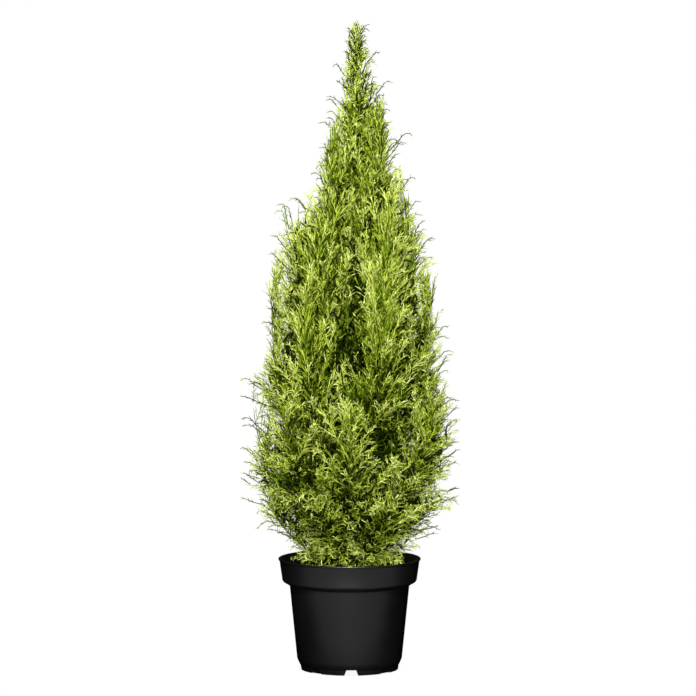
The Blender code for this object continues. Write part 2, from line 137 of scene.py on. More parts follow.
viewSettings = {
    "distance": 6.0, "height": 0.937, "aimHeight": 0.508, "lens": 197.8, "sensor": 36, "shiftX": -0.0022,
    "farthest": 200,
}
lightSettings = {
    "worldLight": 0.13, "worldGloss": 0.01, "backdropWhite": 1.0,
    "key": {"power": 215, "size": 0.6, "place": (-0.18, -3.1, 2.7), "aim": (0, 0, 0.5), "gloss": True},
    "fill": {"power": 175, "size": 1.1, "place": (-0.1, -4.4, 1.0), "aim": (0, 0, 0.4), "gloss": True},
    "top": {"power": 26, "size": 1.4, "place": (0.3, 0.3, 3.2), "aim": (0, 0, 0.4), "gloss": False},
    "back": {"power": 320, "size": 1.6, "place": (0.3, 4.6, 1.2), "aim": (0, 0, 0.5), "gloss": False},
}
floorSettings = {
    "radius": 40, "segments": 64, "drop": 0.0002, "bounce": 0.02, "roughness": 0.9, "specular": 0.1,
    # shade paints a thin contact shadow round the foot; the card is a painted reflection, a glow in the
    # floor for reflected rays only
    "shade": 0.92, "shadeFrom": 0.074, "shadeTo": 0.086,
    "paintedCard": 0.40, "paintedCardFrom": -0.07, "paintedCardTo": -0.15,
}


def aimed(place, target):
    return (Vector(target) - Vector(place)).to_track_quat("-Z", "Y").to_euler()


def addCamera():
    place = (0, -viewSettings["distance"], viewSettings["height"])
    bpy.ops.object.camera_add(location=place, rotation=aimed(place, (0, 0, viewSettings["aimHeight"])))
    camera = bpy.context.object
    camera.name = "frontCamera"
    camera.data.lens = viewSettings["lens"]
    camera.data.sensor_width = viewSettings["sensor"]
    camera.data.shift_x = viewSettings["shiftX"]
    camera.data.clip_end = viewSettings["farthest"]
    bpy.context.scene.camera = camera


def addLights():
    for name in ("key", "fill", "top", "back"):
        values = lightSettings[name]
        bpy.ops.object.light_add(type="AREA", location=values["place"],
                                 rotation=aimed(values["place"], values["aim"]))
        lamp = bpy.context.object
        lamp.name = name + "Softbox"
        lamp.data.shape = "SQUARE"
        lamp.data.size = values["size"]
        lamp.data.energy = values["power"]
        lamp.visible_glossy = values["gloss"]


def addWorld():
    # white where the camera looks straight at it, dim as a light and dimmer still in reflections
    world = bpy.data.worlds.new("studioWhite")
    bpy.context.scene.world = world
    world.use_nodes = True
    nodes, links = world.node_tree.nodes, world.node_tree.links
    nodes.clear()
    path = nodes.new("ShaderNodeLightPath")
    out = nodes.new("ShaderNodeOutputWorld")
    strengths = ("worldLight", "worldGloss", "backdropWhite")
    lit, mirrored, seen = [nodes.new("ShaderNodeBackground") for _ in strengths]
    for background, key in zip((lit, mirrored, seen), strengths):
        setInputs(background, {"Color": (1, 1, 1, 1), "Strength": lightSettings[key]})
    glossMix, cameraMix = nodes.new("ShaderNodeMixShader"), nodes.new("ShaderNodeMixShader")
    links.new(path.outputs["Is Glossy Ray"], glossMix.inputs["Fac"])
    links.new(lit.outputs[0], glossMix.inputs[1])
    links.new(mirrored.outputs[0], glossMix.inputs[2])
    links.new(path.outputs["Is Camera Ray"], cameraMix.inputs["Fac"])
    links.new(glossMix.outputs[0], cameraMix.inputs[1])
    links.new(seen.outputs[0], cameraMix.inputs[2])
    links.new(cameraMix.outputs[0], out.inputs["Surface"])


def addFloor():
    clearSelection()
    bpy.ops.mesh.primitive_circle_add(vertices=floorSettings["segments"], radius=floorSettings["radius"],
                                      fill_type="NGON", location=(0, 0, -floorSettings["drop"]))
    floor = bpy.context.object
    floor.name = "paleFloor"
    applyPlace(floor)
    material = bpy.data.materials.new("paleFloor")
    material.use_nodes = True
    nodes, links = material.node_tree.nodes, material.node_tree.links
    shader = nodes["Principled BSDF"]
    bounce = floorSettings["bounce"]
    setInputs(shader, {"Base Color": (bounce, bounce, bounce, 1), "Roughness": floorSettings["roughness"],
                       "Specular IOR Level": floorSettings["specular"]})
    # seen directly the floor is as white as the backdrop, but for a thin painted shade under the foot,
    # and the pot mirrors it as a pale card lying in front: a painted reflection, a glow in the floor that
    # only reflected rays see
    coords = nodes.new("ShaderNodeTexCoord")
    parts = nodes.new("ShaderNodeSeparateXYZ")
    length = nodes.new("ShaderNodeVectorMath")
    length.operation = "LENGTH"
    path = nodes.new("ShaderNodeLightPath")
    links.new(coords.outputs["Object"], length.inputs[0])
    links.new(coords.outputs["Object"], parts.inputs[0])

    def glowing(source, low, high, dark, toneAndLight):
        ramp = nodes.new("ShaderNodeMapRange")
        ramp.interpolation_type = "SMOOTHSTEP"
        setInputs(ramp, {"From Min": low, "From Max": high, "To Min": dark, "To Max": toneAndLight})
        glow = nodes.new("ShaderNodeEmission")
        links.new(source, ramp.inputs["Value"])
        links.new(ramp.outputs["Result"], glow.inputs["Strength"])
        return glow

    seen = glowing(length.outputs["Value"], floorSettings["shadeFrom"], floorSettings["shadeTo"],
                   floorSettings["shade"], 1.0)
    paintedCard = glowing(parts.outputs["Y"], floorSettings["paintedCardTo"], floorSettings["paintedCardFrom"],
                   floorSettings["paintedCard"], 0.0)
    before = shader
    for ray, glow in (("Is Glossy Ray", paintedCard), ("Is Camera Ray", seen)):
        mix = nodes.new("ShaderNodeMixShader")
        links.new(path.outputs[ray], mix.inputs["Fac"])
        links.new(before.outputs[0], mix.inputs[1])
        links.new(glow.outputs[0], mix.inputs[2])
        before = mix
    links.new(before.outputs[0], nodes["Material Output"].inputs["Surface"])
    floor.data.materials.append(material)


addCamera()
addLights()
addWorld()
addFloor()
bpy.context.scene.view_settings.view_transform = "Standard"
print("camera, lights and floor placed")


# effects that several materials share

def newGroup(name, inputs, outputs):
    group = bpy.data.node_groups.new(name, "ShaderNodeTree")
    for label, kind, value in inputs:
        socket = group.interface.new_socket(label, in_out="INPUT", socket_type=kind)
        if value is not None:
            socket.default_value = value
    for label, kind in outputs:
        group.interface.new_socket(label, in_out="OUTPUT", socket_type=kind)
    return group, group.nodes.new("NodeGroupInput"), group.nodes.new("NodeGroupOutput")


mottleValues = {"patchDetail": 4, "grainDetail": 2, "grainShare": 0.35, "from": 0.42, "to": 0.92}


def makeMottle():
    # blends two colours in soft cloudy patches, with finer grain on top
    group, given, result = newGroup(
        "mottle",
        [("Colour A", "NodeSocketColor", None), ("Colour B", "NodeSocketColor", None),
         ("Patch Scale", "NodeSocketFloat", 20.0), ("Grain Scale", "NodeSocketFloat", 200.0),
         ("Stretch", "NodeSocketVector", None)],
        [("Colour", "NodeSocketColor"), ("Patches", "NodeSocketFloat"), ("Grain", "NodeSocketFloat")])
    nodes, links = group.nodes, group.links
    coords = nodes.new("ShaderNodeTexCoord")
    stretched = nodes.new("ShaderNodeVectorMath")
    stretched.operation = "MULTIPLY"
    patches = nodes.new("ShaderNodeTexNoise")
    setInputs(patches, {"Detail": mottleValues["patchDetail"]})
    grain = nodes.new("ShaderNodeTexNoise")
    setInputs(grain, {"Detail": mottleValues["grainDetail"]})
    both = nodes.new("ShaderNodeMath")
    both.operation = "MULTIPLY_ADD"
    both.inputs[1].default_value = mottleValues["grainShare"]
    ramp = nodes.new("ShaderNodeMapRange")
    setInputs(ramp, {"From Min": mottleValues["from"], "From Max": mottleValues["to"]})
    mix = nodes.new("ShaderNodeMix")
    mix.data_type = "RGBA"
    links.new(coords.outputs["Object"], stretched.inputs[0])
    links.new(given.outputs["Stretch"], stretched.inputs[1])
    for texture, scale in ((patches, "Patch Scale"), (grain, "Grain Scale")):
        links.new(stretched.outputs[0], texture.inputs["Vector"])
        links.new(given.outputs[scale], texture.inputs["Scale"])
    links.new(grain.outputs["Fac"], both.inputs[0])
    links.new(patches.outputs["Fac"], both.inputs[2])
    links.new(both.outputs[0], ramp.inputs["Value"])
    links.new(ramp.outputs["Result"], mix.inputs["Factor"])
    links.new(given.outputs["Colour A"], mix.inputs["A"])
    links.new(given.outputs["Colour B"], mix.inputs["B"])
    links.new(mix.outputs["Result"], result.inputs["Colour"])
    links.new(patches.outputs["Fac"], result.inputs["Patches"])
    links.new(grain.outputs["Fac"], result.inputs["Grain"])
    return group


mottle = makeMottle()


def mottledMaterial(name, values):
    # a Principled material fed by the mottle group: colour, roughness and a little relief
    material = bpy.data.materials.new(name)
    material.use_nodes = True
    nodes, links = material.node_tree.nodes, material.node_tree.links
    shader = nodes["Principled BSDF"]
    setInputs(shader, {"Specular IOR Level": values["specular"]})
    effect = nodes.new("ShaderNodeGroup")
    effect.node_tree = mottle
    setInputs(effect, {"Colour A": (*values["colourA"], 1), "Colour B": (*values["colourB"], 1),
                       "Patch Scale": values["patches"], "Grain Scale": values["grain"],
                       "Stretch": values["stretch"]})
    rough = nodes.new("ShaderNodeMapRange")
    setInputs(rough, {"To Min": values["roughness"][0], "To Max": values["roughness"][1]})
    bump = nodes.new("ShaderNodeBump")
    setInputs(bump, {"Strength": values["bump"], "Distance": values["depth"]})
    links.new(effect.outputs["Colour"], shader.inputs["Base Color"])
    links.new(effect.outputs["Patches"], rough.inputs["Value"])
    links.new(rough.outputs["Result"], shader.inputs["Roughness"])
    links.new(effect.outputs["Grain"], bump.inputs["Height"])
    links.new(bump.outputs["Normal"], shader.inputs["Normal"])
    return material


# the pot: one wall from the hub under the floor out, up, over the rim and down inside

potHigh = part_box("pot")[1]
potSettings = {
    "height": potHigh.z, "rimRadius": potHigh.x, "segments": 160, "wall": 0.0018,
    "bead": 0.0030, "beadFoot": 1.2, "beadOver": 1.3,
    "beadOuterArc": (-40, 90, 6), "beadInnerArc": (100, 170, 4),
    "collarTop": 0.1106, "collarFoot": 0.1065, "collarFootHeight": 0.1436,
    "collarRound": 0.006, "collarArc": (-78, 0, 6),
    "shoulder": 0.0945, "shoulderHeight": 0.1330,
    "bodyFoot": 0.0829, "bodyFootHeight": 0.0175, "bodyEase": (0.0010, 0.0022),
    "step": 0.0783, "stepHeight": 0.0084, "stepEase": (0.0002, 0.0008), "chamferEase": 0.0006,
    "foot": 0.0769, "footWall": 0.0040, "skirt": 0.0030, "skirtFoot": 0.0024,
    "floorHeight": 0.0095, "floorReach": 0.3, "hub": 0.0200,
    "notches": 8, "notchTurn": 2.0, "notchFootWidth": 0.0215, "notchHeadWidth": 0.0140,
    "notchHeight": 0.0088, "notchDepth": 0.020, "notchSpread": 1.08, "notchDip": 0.001,
    "drainCircle": 0.0640, "drainRadius": 0.0050, "drainSides": 20, "drainDepth": 0.012,
    "edgeRound": 0.0004, "edgeAngle": 35, "smoothAngle": 32,
}
potFinish = {
    "colourA": (0.0022, 0.0022, 0.0023), "colourB": (0.0040, 0.0040, 0.0042),
    "patches": 9, "grain": 900, "stretch": (1, 1, 1.6), "specular": 0.5,
    "roughness": (0.32, 0.44), "bump": 0.10, "depth": 0.0004,
}


def potRings():
    # from the hub out along the underside, up the outer side, over the bead and down the inner side
    s = potSettings
    bead, wall = s["bead"] / 2, s["wall"]
    hubSide = s["hub"] + s["footWall"] / 2
    footInside = s["foot"] - s["footWall"]
    floorEdge = s["step"] + (s["bodyFoot"] - s["step"]) * s["floorReach"] - wall
    beadHeight, beadFoot = s["height"] - bead, s["height"] - s["beadFoot"] * s["bead"]
    return [
        (s["hub"], 0.0),
        (hubSide, s["floorHeight"]),
        (footInside - s["skirt"], s["floorHeight"]),
        (footInside - s["skirt"], s["skirtFoot"]),
        (footInside, s["skirtFoot"]),
        (footInside, 0.0),
        (s["foot"], 0.0),
        (s["step"] - s["stepEase"][0], s["stepHeight"] - s["stepEase"][1]),
        (s["step"] + s["chamferEase"], s["stepHeight"]),
        (s["bodyFoot"] - s["bodyEase"][0], s["bodyFootHeight"] - s["bodyEase"][1]),
        (s["bodyFoot"], s["bodyFootHeight"]),
        (s["shoulder"], s["shoulderHeight"]),
        *arcRings((s["collarFoot"] - s["collarRound"], s["collarFootHeight"]), s["collarRound"],
                  *s["collarArc"]),
        (s["collarTop"], beadFoot),
        *arcRings((s["rimRadius"] - bead, beadHeight), bead, *s["beadOuterArc"]),
        *arcRings((s["rimRadius"] - s["beadOver"] * bead, beadHeight), bead, *s["beadInnerArc"]),
        (s["collarTop"] - wall, beadFoot),
        (s["collarFoot"] - wall, s["collarFootHeight"] + wall),
        (s["shoulder"] - wall, s["shoulderHeight"] + wall / 2),
        (s["bodyFoot"] - wall, s["bodyFootHeight"]),
        (floorEdge, s["floorHeight"] + wall),
        (hubSide - wall, s["floorHeight"] + wall),
        (s["hub"] - wall, wall),
    ]


def footNotch(angle, through):
    # a wedge narrower at its top: right through, or only as far in as the skirt
    s = potSettings
    clearSelection()
    depth = s["notchDepth"] if through else 2 * s["footWall"]
    middle = s["foot"] + s["footWall"] - depth / 2
    bpy.ops.mesh.primitive_cube_add(size=1, location=(middle, 0, s["notchHeight"] / 2 - s["notchDip"]))
    cutter = bpy.context.object
    width, height = s["notchFootWidth"] * s["notchSpread"], s["notchHeight"] + 2 * s["notchDip"]
    cutter.dimensions = (depth, width, height)
    applyPlace(cutter)
    bpy.ops.object.mode_set(mode="EDIT")
    bpy.ops.mesh.select_all(action="DESELECT")
    bpy.ops.object.mode_set(mode="OBJECT")
    for face in cutter.data.polygons:
        face.select = face.normal.z > 0.5  # the top
    bpy.ops.object.mode_set(mode="EDIT")
    bpy.ops.transform.resize(value=(1, s["notchHeadWidth"] / s["notchFootWidth"], 1))
    bpy.ops.object.mode_set(mode="OBJECT")
    cutter.rotation_euler.z = angle
    applyPlace(cutter)
    return cutter


def drainHole(angle):
    s = potSettings
    clearSelection()
    place = (s["drainCircle"] * math.cos(angle), s["drainCircle"] * math.sin(angle), s["floorHeight"])
    bpy.ops.mesh.primitive_cylinder_add(vertices=s["drainSides"], radius=s["drainRadius"],
                                        depth=s["drainDepth"], location=place)
    cutter = bpy.context.object
    applyPlace(cutter)
    return cutter


def makePot():
    s = potSettings
    pot = lathe("potShell", potRings(), s["segments"])
    cutters = []
    for index in range(s["notches"]):
        angle = math.tau * index / s["notches"] - math.pi / 2 + math.radians(s["notchTurn"])
        cutters += [footNotch(angle, index % 2 == 0), drainHole(angle)]
    cutter = joinPieces(cutters, "notchCutter")
    cut = pot.modifiers.new("notches", "BOOLEAN")
    cut.operation = "DIFFERENCE"
    cut.solver = "EXACT"
    cut.object = cutter
    rounded = pot.modifiers.new("edges", "BEVEL")
    rounded.width = s["edgeRound"]
    rounded.segments = 2
    rounded.limit_method = "ANGLE"
    rounded.angle_limit = math.radians(s["edgeAngle"])
    applyAll(pot)
    bpy.data.objects.remove(cutter)
    smoothBelow(pot, s["smoothAngle"])
    finishPiece(pot, mottledMaterial("blackPlastic", potFinish), ["pot"])


makePot()
print("pot turned")


# the soil: a crumbly bed with loose crumbs lying on it

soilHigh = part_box("soil")[1]
soilSettings = {
    "edgeHeight": 0.1500, "rise": 0.0026, "riseReach": 0.1, "flatFrom": 0.1045, "flatWidth": 0.004,
    "relief": 0.0030, "reliefScale": 90, "lumps": 0.35, "fine": 0.15, "settled": 0.1,
    "underside": ((0.0185, 0.0030), (0.0205, 0.0125), (0.0770, 0.0125), (0.0805, 0.0185)),
    "side": ((0.0921, 0.1340), (0.1040, 0.1460)), "radius": 0.1044, "topFrom": 0.1025, "topTo": 0.0015,
    "topRings": 46, "segments": 120, "smoothAngle": 60,
    "fineScale": 4, "fineSlice": 0.3,
    "crumbs": 1500, "crumbReach": 0.1015, "smallest": 0.0007, "largest": 0.0030, "crumbLift": 0.25,
    "inmost": 0.02, "mostlySmall": 3, "squash": (0.6, 1.1), "unevenness": (0.8, 1.15), "seed": 11,
}
soilFinish = {
    "colourA": (0.012, 0.008, 0.005), "colourB": (0.050, 0.033, 0.020),
    "patches": 60, "grain": 600, "stretch": (1, 1, 1), "specular": 0.15,
    "roughness": (0.85, 1.0), "bump": 0.7, "depth": 0.0015,
}


def soilTop(x, y):
    s = soilSettings
    away = math.hypot(x, y)
    height = s["edgeHeight"] + s["rise"] * max(0, 1 - away / s["riseReach"])
    lumps = noise.noise(Vector((x, y, 0)) * s["reliefScale"])
    fine = noise.noise(Vector((x, y, s["fineSlice"])) * s["fineScale"] * s["reliefScale"])
    settle = min(1, max(0, (s["flatFrom"] - away) / s["flatWidth"]))
    return height + s["relief"] * settle * (s["lumps"] * lumps + s["fine"] * fine - s["settled"])


def makeSoil():
    s = soilSettings
    top = [(radius, s["edgeHeight"]) for radius in np.linspace(s["topFrom"], s["topTo"], s["topRings"])]
    rings = [*s["underside"], *s["side"], (s["radius"], s["edgeHeight"]), *top]
    bed = lathe("soilBed", rings, s["segments"])
    for corner in bed.data.vertices:
        if corner.co.z > s["edgeHeight"] - 0.0001:  # on the top
            corner.co.z = soilTop(corner.co.x, corner.co.y)
    smoothBelow(bed, s["smoothAngle"])
    earth = mottledMaterial("pottingSoil", soilFinish)
    finishPiece(bed, earth, ["soil"])
    return earth


def crumbShape():
    # one lumpy crumb as corners and triangles, taken from a small ball
    clearSelection()
    bpy.ops.mesh.primitive_ico_sphere_add(subdivisions=1, radius=1)
    ball = bpy.context.object
    corners = np.array([corner.co for corner in ball.data.vertices])
    faces = np.array([face.vertices for face in ball.data.polygons])
    bpy.data.objects.remove(ball)
    return corners, faces


def meshFromArrays(name, corners, faces, smooth=False):
    # a joined mesh of many small things, from one array of corners and one of triangles
    mesh = bpy.data.meshes.new(name)
    mesh.vertices.add(len(corners))
    mesh.vertices.foreach_set("co", np.ascontiguousarray(corners, np.float32).ravel())
    mesh.loops.add(faces.size)
    mesh.loops.foreach_set("vertex_index", np.ascontiguousarray(faces, np.int32).ravel())
    mesh.polygons.add(len(faces))
    mesh.polygons.foreach_set("loop_start", np.arange(0, faces.size, 3, dtype=np.int32))
    mesh.polygons.foreach_set("use_smooth", np.full(len(faces), smooth))
    mesh.update(calc_edges=True)
    piece = bpy.data.objects.new(name, mesh)
    bpy.context.scene.collection.objects.link(piece)
    return piece


def makeCrumbs(earth):
    s = soilSettings
    chance = np.random.default_rng(s["seed"])
    ball, faces = crumbShape()
    corners, triangles = [], []
    for index in range(s["crumbs"]):
        away = s["crumbReach"] * math.sqrt(chance.uniform(s["inmost"], 1))
        turn = chance.uniform(0, math.tau)
        x, y = away * math.cos(turn), away * math.sin(turn)
        size = s["smallest"] + (s["largest"] - s["smallest"]) * chance.uniform() ** s["mostlySmall"]
        lump = ball * size * chance.uniform(*s["squash"], 3) \
            * chance.uniform(*s["unevenness"], (len(ball), 1))
        spin = chance.uniform(0, math.tau)
        turned = np.column_stack([lump[:, 0] * math.cos(spin) - lump[:, 1] * math.sin(spin),
                                  lump[:, 0] * math.sin(spin) + lump[:, 1] * math.cos(spin),
                                  lump[:, 2]])
        corners.append(turned + (x, y, soilTop(x, y) + size * s["crumbLift"]))
        triangles.append(faces + index * len(ball))
    crumbs = meshFromArrays("soilCrumbs", np.concatenate(corners), np.concatenate(triangles))
    finishPiece(crumbs, earth)


makeCrumbs(makeSoil())
print("soil laid")


# the plant's plan: trunk line, tiers of boughs and plumes, as in the solids

trunkLow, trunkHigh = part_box("trunk")
trunkPlan = {
    "foot": trunkLow.z, "tip": trunkHigh.z, "leaderTip": 1.004, "lean": 0.0120,
    "flareRadius": 0.0130, "flareFall": 0.025, "radius": 0.0085, "tipRadius": 0.0018, "taper": 0.85,
    "sway": 0.003, "swayBack": 0.5,
}
boughPlan = {
    "turnJitter": 5.0, "lengthJitter": 0.04, "rootSpread": 0.030, "share": 0.45, "taper": 0.55,
}
tiers = (
    {"name": "skirt", "count": 7, "turn": -64, "root": 0.170, "tip": 0.275, "reach": 0.130,
     "bulge": 0.74, "rise": 0.08, "bare": 0.26, "plume": 0.060, "lift": 0.10, "nod": 0.60,
     "angles": (64, 34), "curl": 0.80, "splay": 1.18},
    {"name": "low", "count": 7, "turn": -86, "root": 0.212, "tip": 0.425, "reach": 0.150,
     "bulge": 0.92, "rise": 0.22, "bare": 0.27, "plume": 0.070, "lift": 0.30, "nod": 0.60,
     "angles": (56, 26), "curl": 0.70, "splay": 1.08},
    {"name": "middle", "count": 6, "turn": -120, "root": 0.285, "tip": 0.605, "reach": 0.124,
     "bulge": 1.10, "rise": 0.30, "bare": 0.26, "plume": 0.068, "lift": 0.50, "nod": 0.90,
     "angles": (44, 18), "curl": 0.32, "splay": 0.76},
    {"name": "upper", "count": 5, "turn": -126, "root": 0.395, "tip": 0.755, "reach": 0.090,
     "bulge": 1.20, "rise": 0.34, "bare": 0.24, "plume": 0.064, "lift": 0.55, "nod": 1.20,
     "angles": (40, 16), "curl": 0.19, "splay": 0.62},
    {"name": "crest", "count": 3, "turn": -150, "root": 0.560, "tip": 0.885, "reach": 0.042,
     "bulge": 1.30, "rise": 0.38, "bare": 0.20, "plume": 0.052, "lift": 0.55, "nod": 1.40,
     "angles": (38, 16), "curl": 0.19, "splay": 0.62},
)
leaderPlan = {
    "name": "leader", "foot": 0.770, "bare": 0.0, "plume": 0.060, "lift": 0.30, "nod": 1.8,
    "angles": (40, 22), "curl": 0.24, "splay": 0.72,
}
# height, how far the foliage reaches there, and how far the crown's middle stands off the pot's axis
crown = (
    (0.155, 0.094, 0.007), (0.193, 0.094, 0.008), (0.212, 0.102, 0.008), (0.234, 0.116, 0.007),
    (0.252, 0.143, 0.003), (0.290, 0.154, 0.003), (0.330, 0.156, 0.004), (0.360, 0.153, 0.007),
    (0.400, 0.144, 0.009), (0.430, 0.145, 0.006), (0.480, 0.140, 0.005), (0.515, 0.131, 0.009),
    (0.590, 0.121, 0.004), (0.640, 0.114, 0.003), (0.680, 0.104, 0.006), (0.700, 0.090, 0.012),
    (0.715, 0.079, 0.017), (0.735, 0.074, 0.015), (0.760, 0.067, 0.014), (0.800, 0.054, 0.012),
    (0.845, 0.042, 0.015), (0.885, 0.038, 0.017), (0.930, 0.028, 0.012), (0.965, 0.022, 0.012),
    (1.000, 0.016, 0.011), (1.022, 0.006, 0.009),
)
# plumes that stand out of the rest, or back from it: turn in degrees, height, and by how much
bumps = (
    (181, 0.700, 0.020), (180, 0.400, -0.014), (180, 0.455, 0.006), (183, 0.300, 0.014),
    (357, 0.290, 0.021), (2, 0.205, 0.004), (0, 0.385, 0.011), (0, 0.840, 0.010), (250, 0.640, 0.010),
    (292, 0.450, 0.008), (70, 0.730, 0.016), (112, 0.560, 0.012), (50, 0.360, 0.008),
    (130, 0.290, 0.007), (320, 0.770, 0.010),
)
bumpSize = {"turn": 22, "height": 0.020}
crownHeights, crownReaches, crownShifts = np.array(crown).T


def trunkLine(height):
    share = max(0.0, (height - trunkPlan["foot"]) / (trunkPlan["leaderTip"] - trunkPlan["foot"]))
    sway = trunkPlan["sway"] * math.sin(math.tau * share) * share
    return Vector((trunkPlan["lean"] * share**2 - sway, trunkPlan["swayBack"] * sway, height))


def trunkRadius(height):
    plan = trunkPlan
    share = max(0.0, (height - plan["foot"]) / (plan["tip"] - plan["foot"]))
    flare = (plan["flareRadius"] - plan["radius"]) * math.exp(-share / plan["flareFall"])
    return plan["radius"] + (plan["tipRadius"] - plan["radius"]) * share ** plan["taper"] + flare


def bezier(knots, share):
    first, bend, last = knots
    return first * (1 - share) ** 2 + bend * 2 * share * (1 - share) + last * share**2


def bezierDirection(knots, share):
    first, bend, last = knots
    return ((bend - first) * (1 - share) + (last - bend) * share).normalized()


def planBoughs():
    # each plan is its tier's, with its own name, curve, tip and foot radius
    plans = []
    for number, tier in enumerate(tiers):
        for index in range(tier["count"]):
            chance = random.Random(100 * number + index)
            turn = tier["turn"] + 360 / tier["count"] * index \
                + chance.uniform(-1, 1) * boughPlan["turnJitter"]
            out = Vector((math.cos(math.radians(turn)), math.sin(math.radians(turn)), 0.0))
            root = tier["root"] + boughPlan["rootSpread"] * (index * goldenRatio % 1)
            length = 1 + chance.uniform(-1, 1) * boughPlan["lengthJitter"]
            tip = root + (tier["tip"] - root) * length
            reach = tier["reach"] * (1 + chance.uniform(-1, 1) * boughPlan["lengthJitter"])
            bendHeight = root + (tip - root) * tier["rise"]
            knots = (trunkLine(root), trunkLine(bendHeight) + out * reach * tier["bulge"],
                     trunkLine(tip) + out * reach)
            plans.append({**tier, "name": f"{tier['name']}_{index + 1}", "knots": knots, "tip": tip,
                          "radius": boughPlan["share"] * trunkRadius(root)})
    return plans


def planLeader():
    foot, tip = trunkLine(leaderPlan["foot"]), trunkLine(trunkPlan["leaderTip"])
    return {**leaderPlan, "knots": (foot, (foot + tip) / 2, tip), "tip": tip.z,
            "radius": trunkPlan["tipRadius"] / boughPlan["taper"]}


boughs = planBoughs()
plumes = boughs + [planLeader()]


# bark: trunk and boughs with fibrous ridges

barkSettings = {
    "trunkRings": 150, "trunkRidge": 0.00055, "boughRings": 34, "boughRidge": 0.00022, "roundness": 5,
    "fibreScale": (420, 420, 28), "knobScale": 90, "knobs": 0.8,
    "inset": 0.0003, "boughSwell": 1.08, "boughOverrun": 1.04, "smoothAngle": 50,
}
barkFinish = {
    "colourA": (0.030, 0.022, 0.014), "colourB": (0.115, 0.080, 0.050),
    "patches": 160, "grain": 700, "stretch": (1, 1, 0.12), "specular": 0.2,
    "roughness": (0.75, 0.95), "bump": 0.6, "depth": 0.0008,
}


def limb(name, points, radii, ridge):
    # a bevelled curve made a mesh, its skin then pushed in and out along the fibres
    clearSelection()
    bpy.ops.object.add(type="CURVE", location=(0, 0, 0))
    piece = bpy.context.object
    piece.name = name
    curve = piece.data
    curve.dimensions = "3D"
    curve.bevel_depth = 1
    curve.bevel_resolution = barkSettings["roundness"]
    curve.use_fill_caps = True
    spline = curve.splines.new("POLY")
    spline.points.add(len(points) - 1)
    for knot, point, radius in zip(spline.points, points, radii):
        knot.co = (*point, 1)
        knot.radius = radius
    bpy.ops.object.convert(target="MESH")
    bpy.ops.object.mode_set(mode="EDIT")
    bpy.ops.mesh.select_all(action="SELECT")
    bpy.ops.mesh.remove_doubles(threshold=0.00001)
    bpy.ops.mesh.normals_make_consistent(inside=False)
    bpy.ops.object.mode_set(mode="OBJECT")
    for corner in piece.data.vertices:
        fibre = noise.noise(corner.co * Vector(barkSettings["fibreScale"]))
        knob = noise.noise(corner.co * barkSettings["knobScale"])
        corner.co = corner.co + corner.normal * ridge * (fibre + barkSettings["knobs"] * knob)
    return piece


def makeBark():
    s = barkSettings
    bark = mottledMaterial("fibrousBark", barkFinish)
    heights = np.linspace(trunkPlan["foot"], trunkPlan["tip"], s["trunkRings"])
    radii = [trunkRadius(height) - s["inset"] for height in heights]
    trunk = limb("trunkBark", [trunkLine(height) for height in heights], radii, s["trunkRidge"])
    smoothBelow(trunk, s["smoothAngle"])
    finishPiece(trunk, bark, ["trunk"])
    limbs = []
    for plan in boughs:
        shares = np.linspace(0, plan["bare"] * s["boughOverrun"], s["boughRings"])
        radii = plan["radius"] * np.linspace(s["boughSwell"], boughPlan["taper"], len(shares))
        points = [bezier(plan["knots"], share) for share in shares]
        limbs.append(limb("bough", points, radii, s["boughRidge"]))
    joined = joinPieces(limbs, "boughBark")
    smoothBelow(joined, s["smoothAngle"])
    finishPiece(joined, bark, ["bough_" + plan["name"] for plan in boughs])


makeBark()
print("bark grown on trunk and boughs")


# foliage: shoots on shoots by the golden angle, each kept to its own plume's space

chance = np.random.default_rng(seed=7)
noPlume = {"curl": 0.35, "splay": 1.0}
plumeCurls = np.array([plan["curl"] for plan in (*plumes, noPlume)])
plumeSplays = np.array([plan["splay"] for plan in (*plumes, noPlume)])
noOwner = -1  # for shoots that no plume owns, which so take the last curl and splay


def unit(vectors):
    return vectors / np.maximum(np.linalg.norm(vectors, axis=-1, keepdims=True), 1e-12)


def sideways(along, turn):
    # a direction square to along, turned round it
    side = along.orthogonal().normalized()
    return np.array(side) * math.cos(turn) + np.array(along.cross(side)) * math.sin(turn)


def outwards(turns):
    angles = np.radians(turns)
    return np.column_stack([np.cos(angles), np.sin(angles), np.zeros(len(turns))])


def crownLine(heights):
    # points on the line up the crown's middle
    return np.column_stack([crownMiddle(heights), np.zeros(len(heights)), heights])


def stemShares(plan, steps):
    return plan["bare"] + (1 - plan["bare"]) * np.linspace(0, 1, steps + 1)


def crownRadius(heights):
    return np.interp(heights, crownHeights, crownReaches, right=-1.0)


def crownMiddle(heights):
    return np.interp(heights, crownHeights, crownShifts)


def crownEdge(turns, heights):
    # the table's reach, and more where a plume stands out; turns are in degrees
    edge = crownRadius(heights)
    for turn, height, extra in bumps:
        away = (turns - turn + 180) % 360 - 180
        edge = edge + extra * np.exp(-0.5 * (away / bumpSize["turn"]) ** 2
                                     - 0.5 * ((heights - height) / bumpSize["height"]) ** 2)
    return edge


def crownDepth(points):
    # distance from the crown's middle, and from there to the crown's edge
    x, y = points[:, 0] - crownMiddle(points[:, 2]), points[:, 1]
    return np.hypot(x, y), crownEdge(np.degrees(np.arctan2(y, x)), points[:, 2])


# the space rule: inside the crown, clear of pot, soil and limbs, and nearest to the plume's own stem

spaceSettings = {
    "stemSteps": 8, "trunkSteps": 14, "boughSteps": 5, "batch": 6000,
    "cellSlack": 0.013, "limbClear": 0.0004, "potClear": 0.0015, "soilClear": 0.001, "sideLimit": 0.168,
}


def segmentsOf(lines):
    # the first and last points of all the lines' segments
    parts = [np.array(line, float) for line in lines]
    return np.concatenate([part[:-1] for part in parts]), np.concatenate([part[1:] for part in parts])


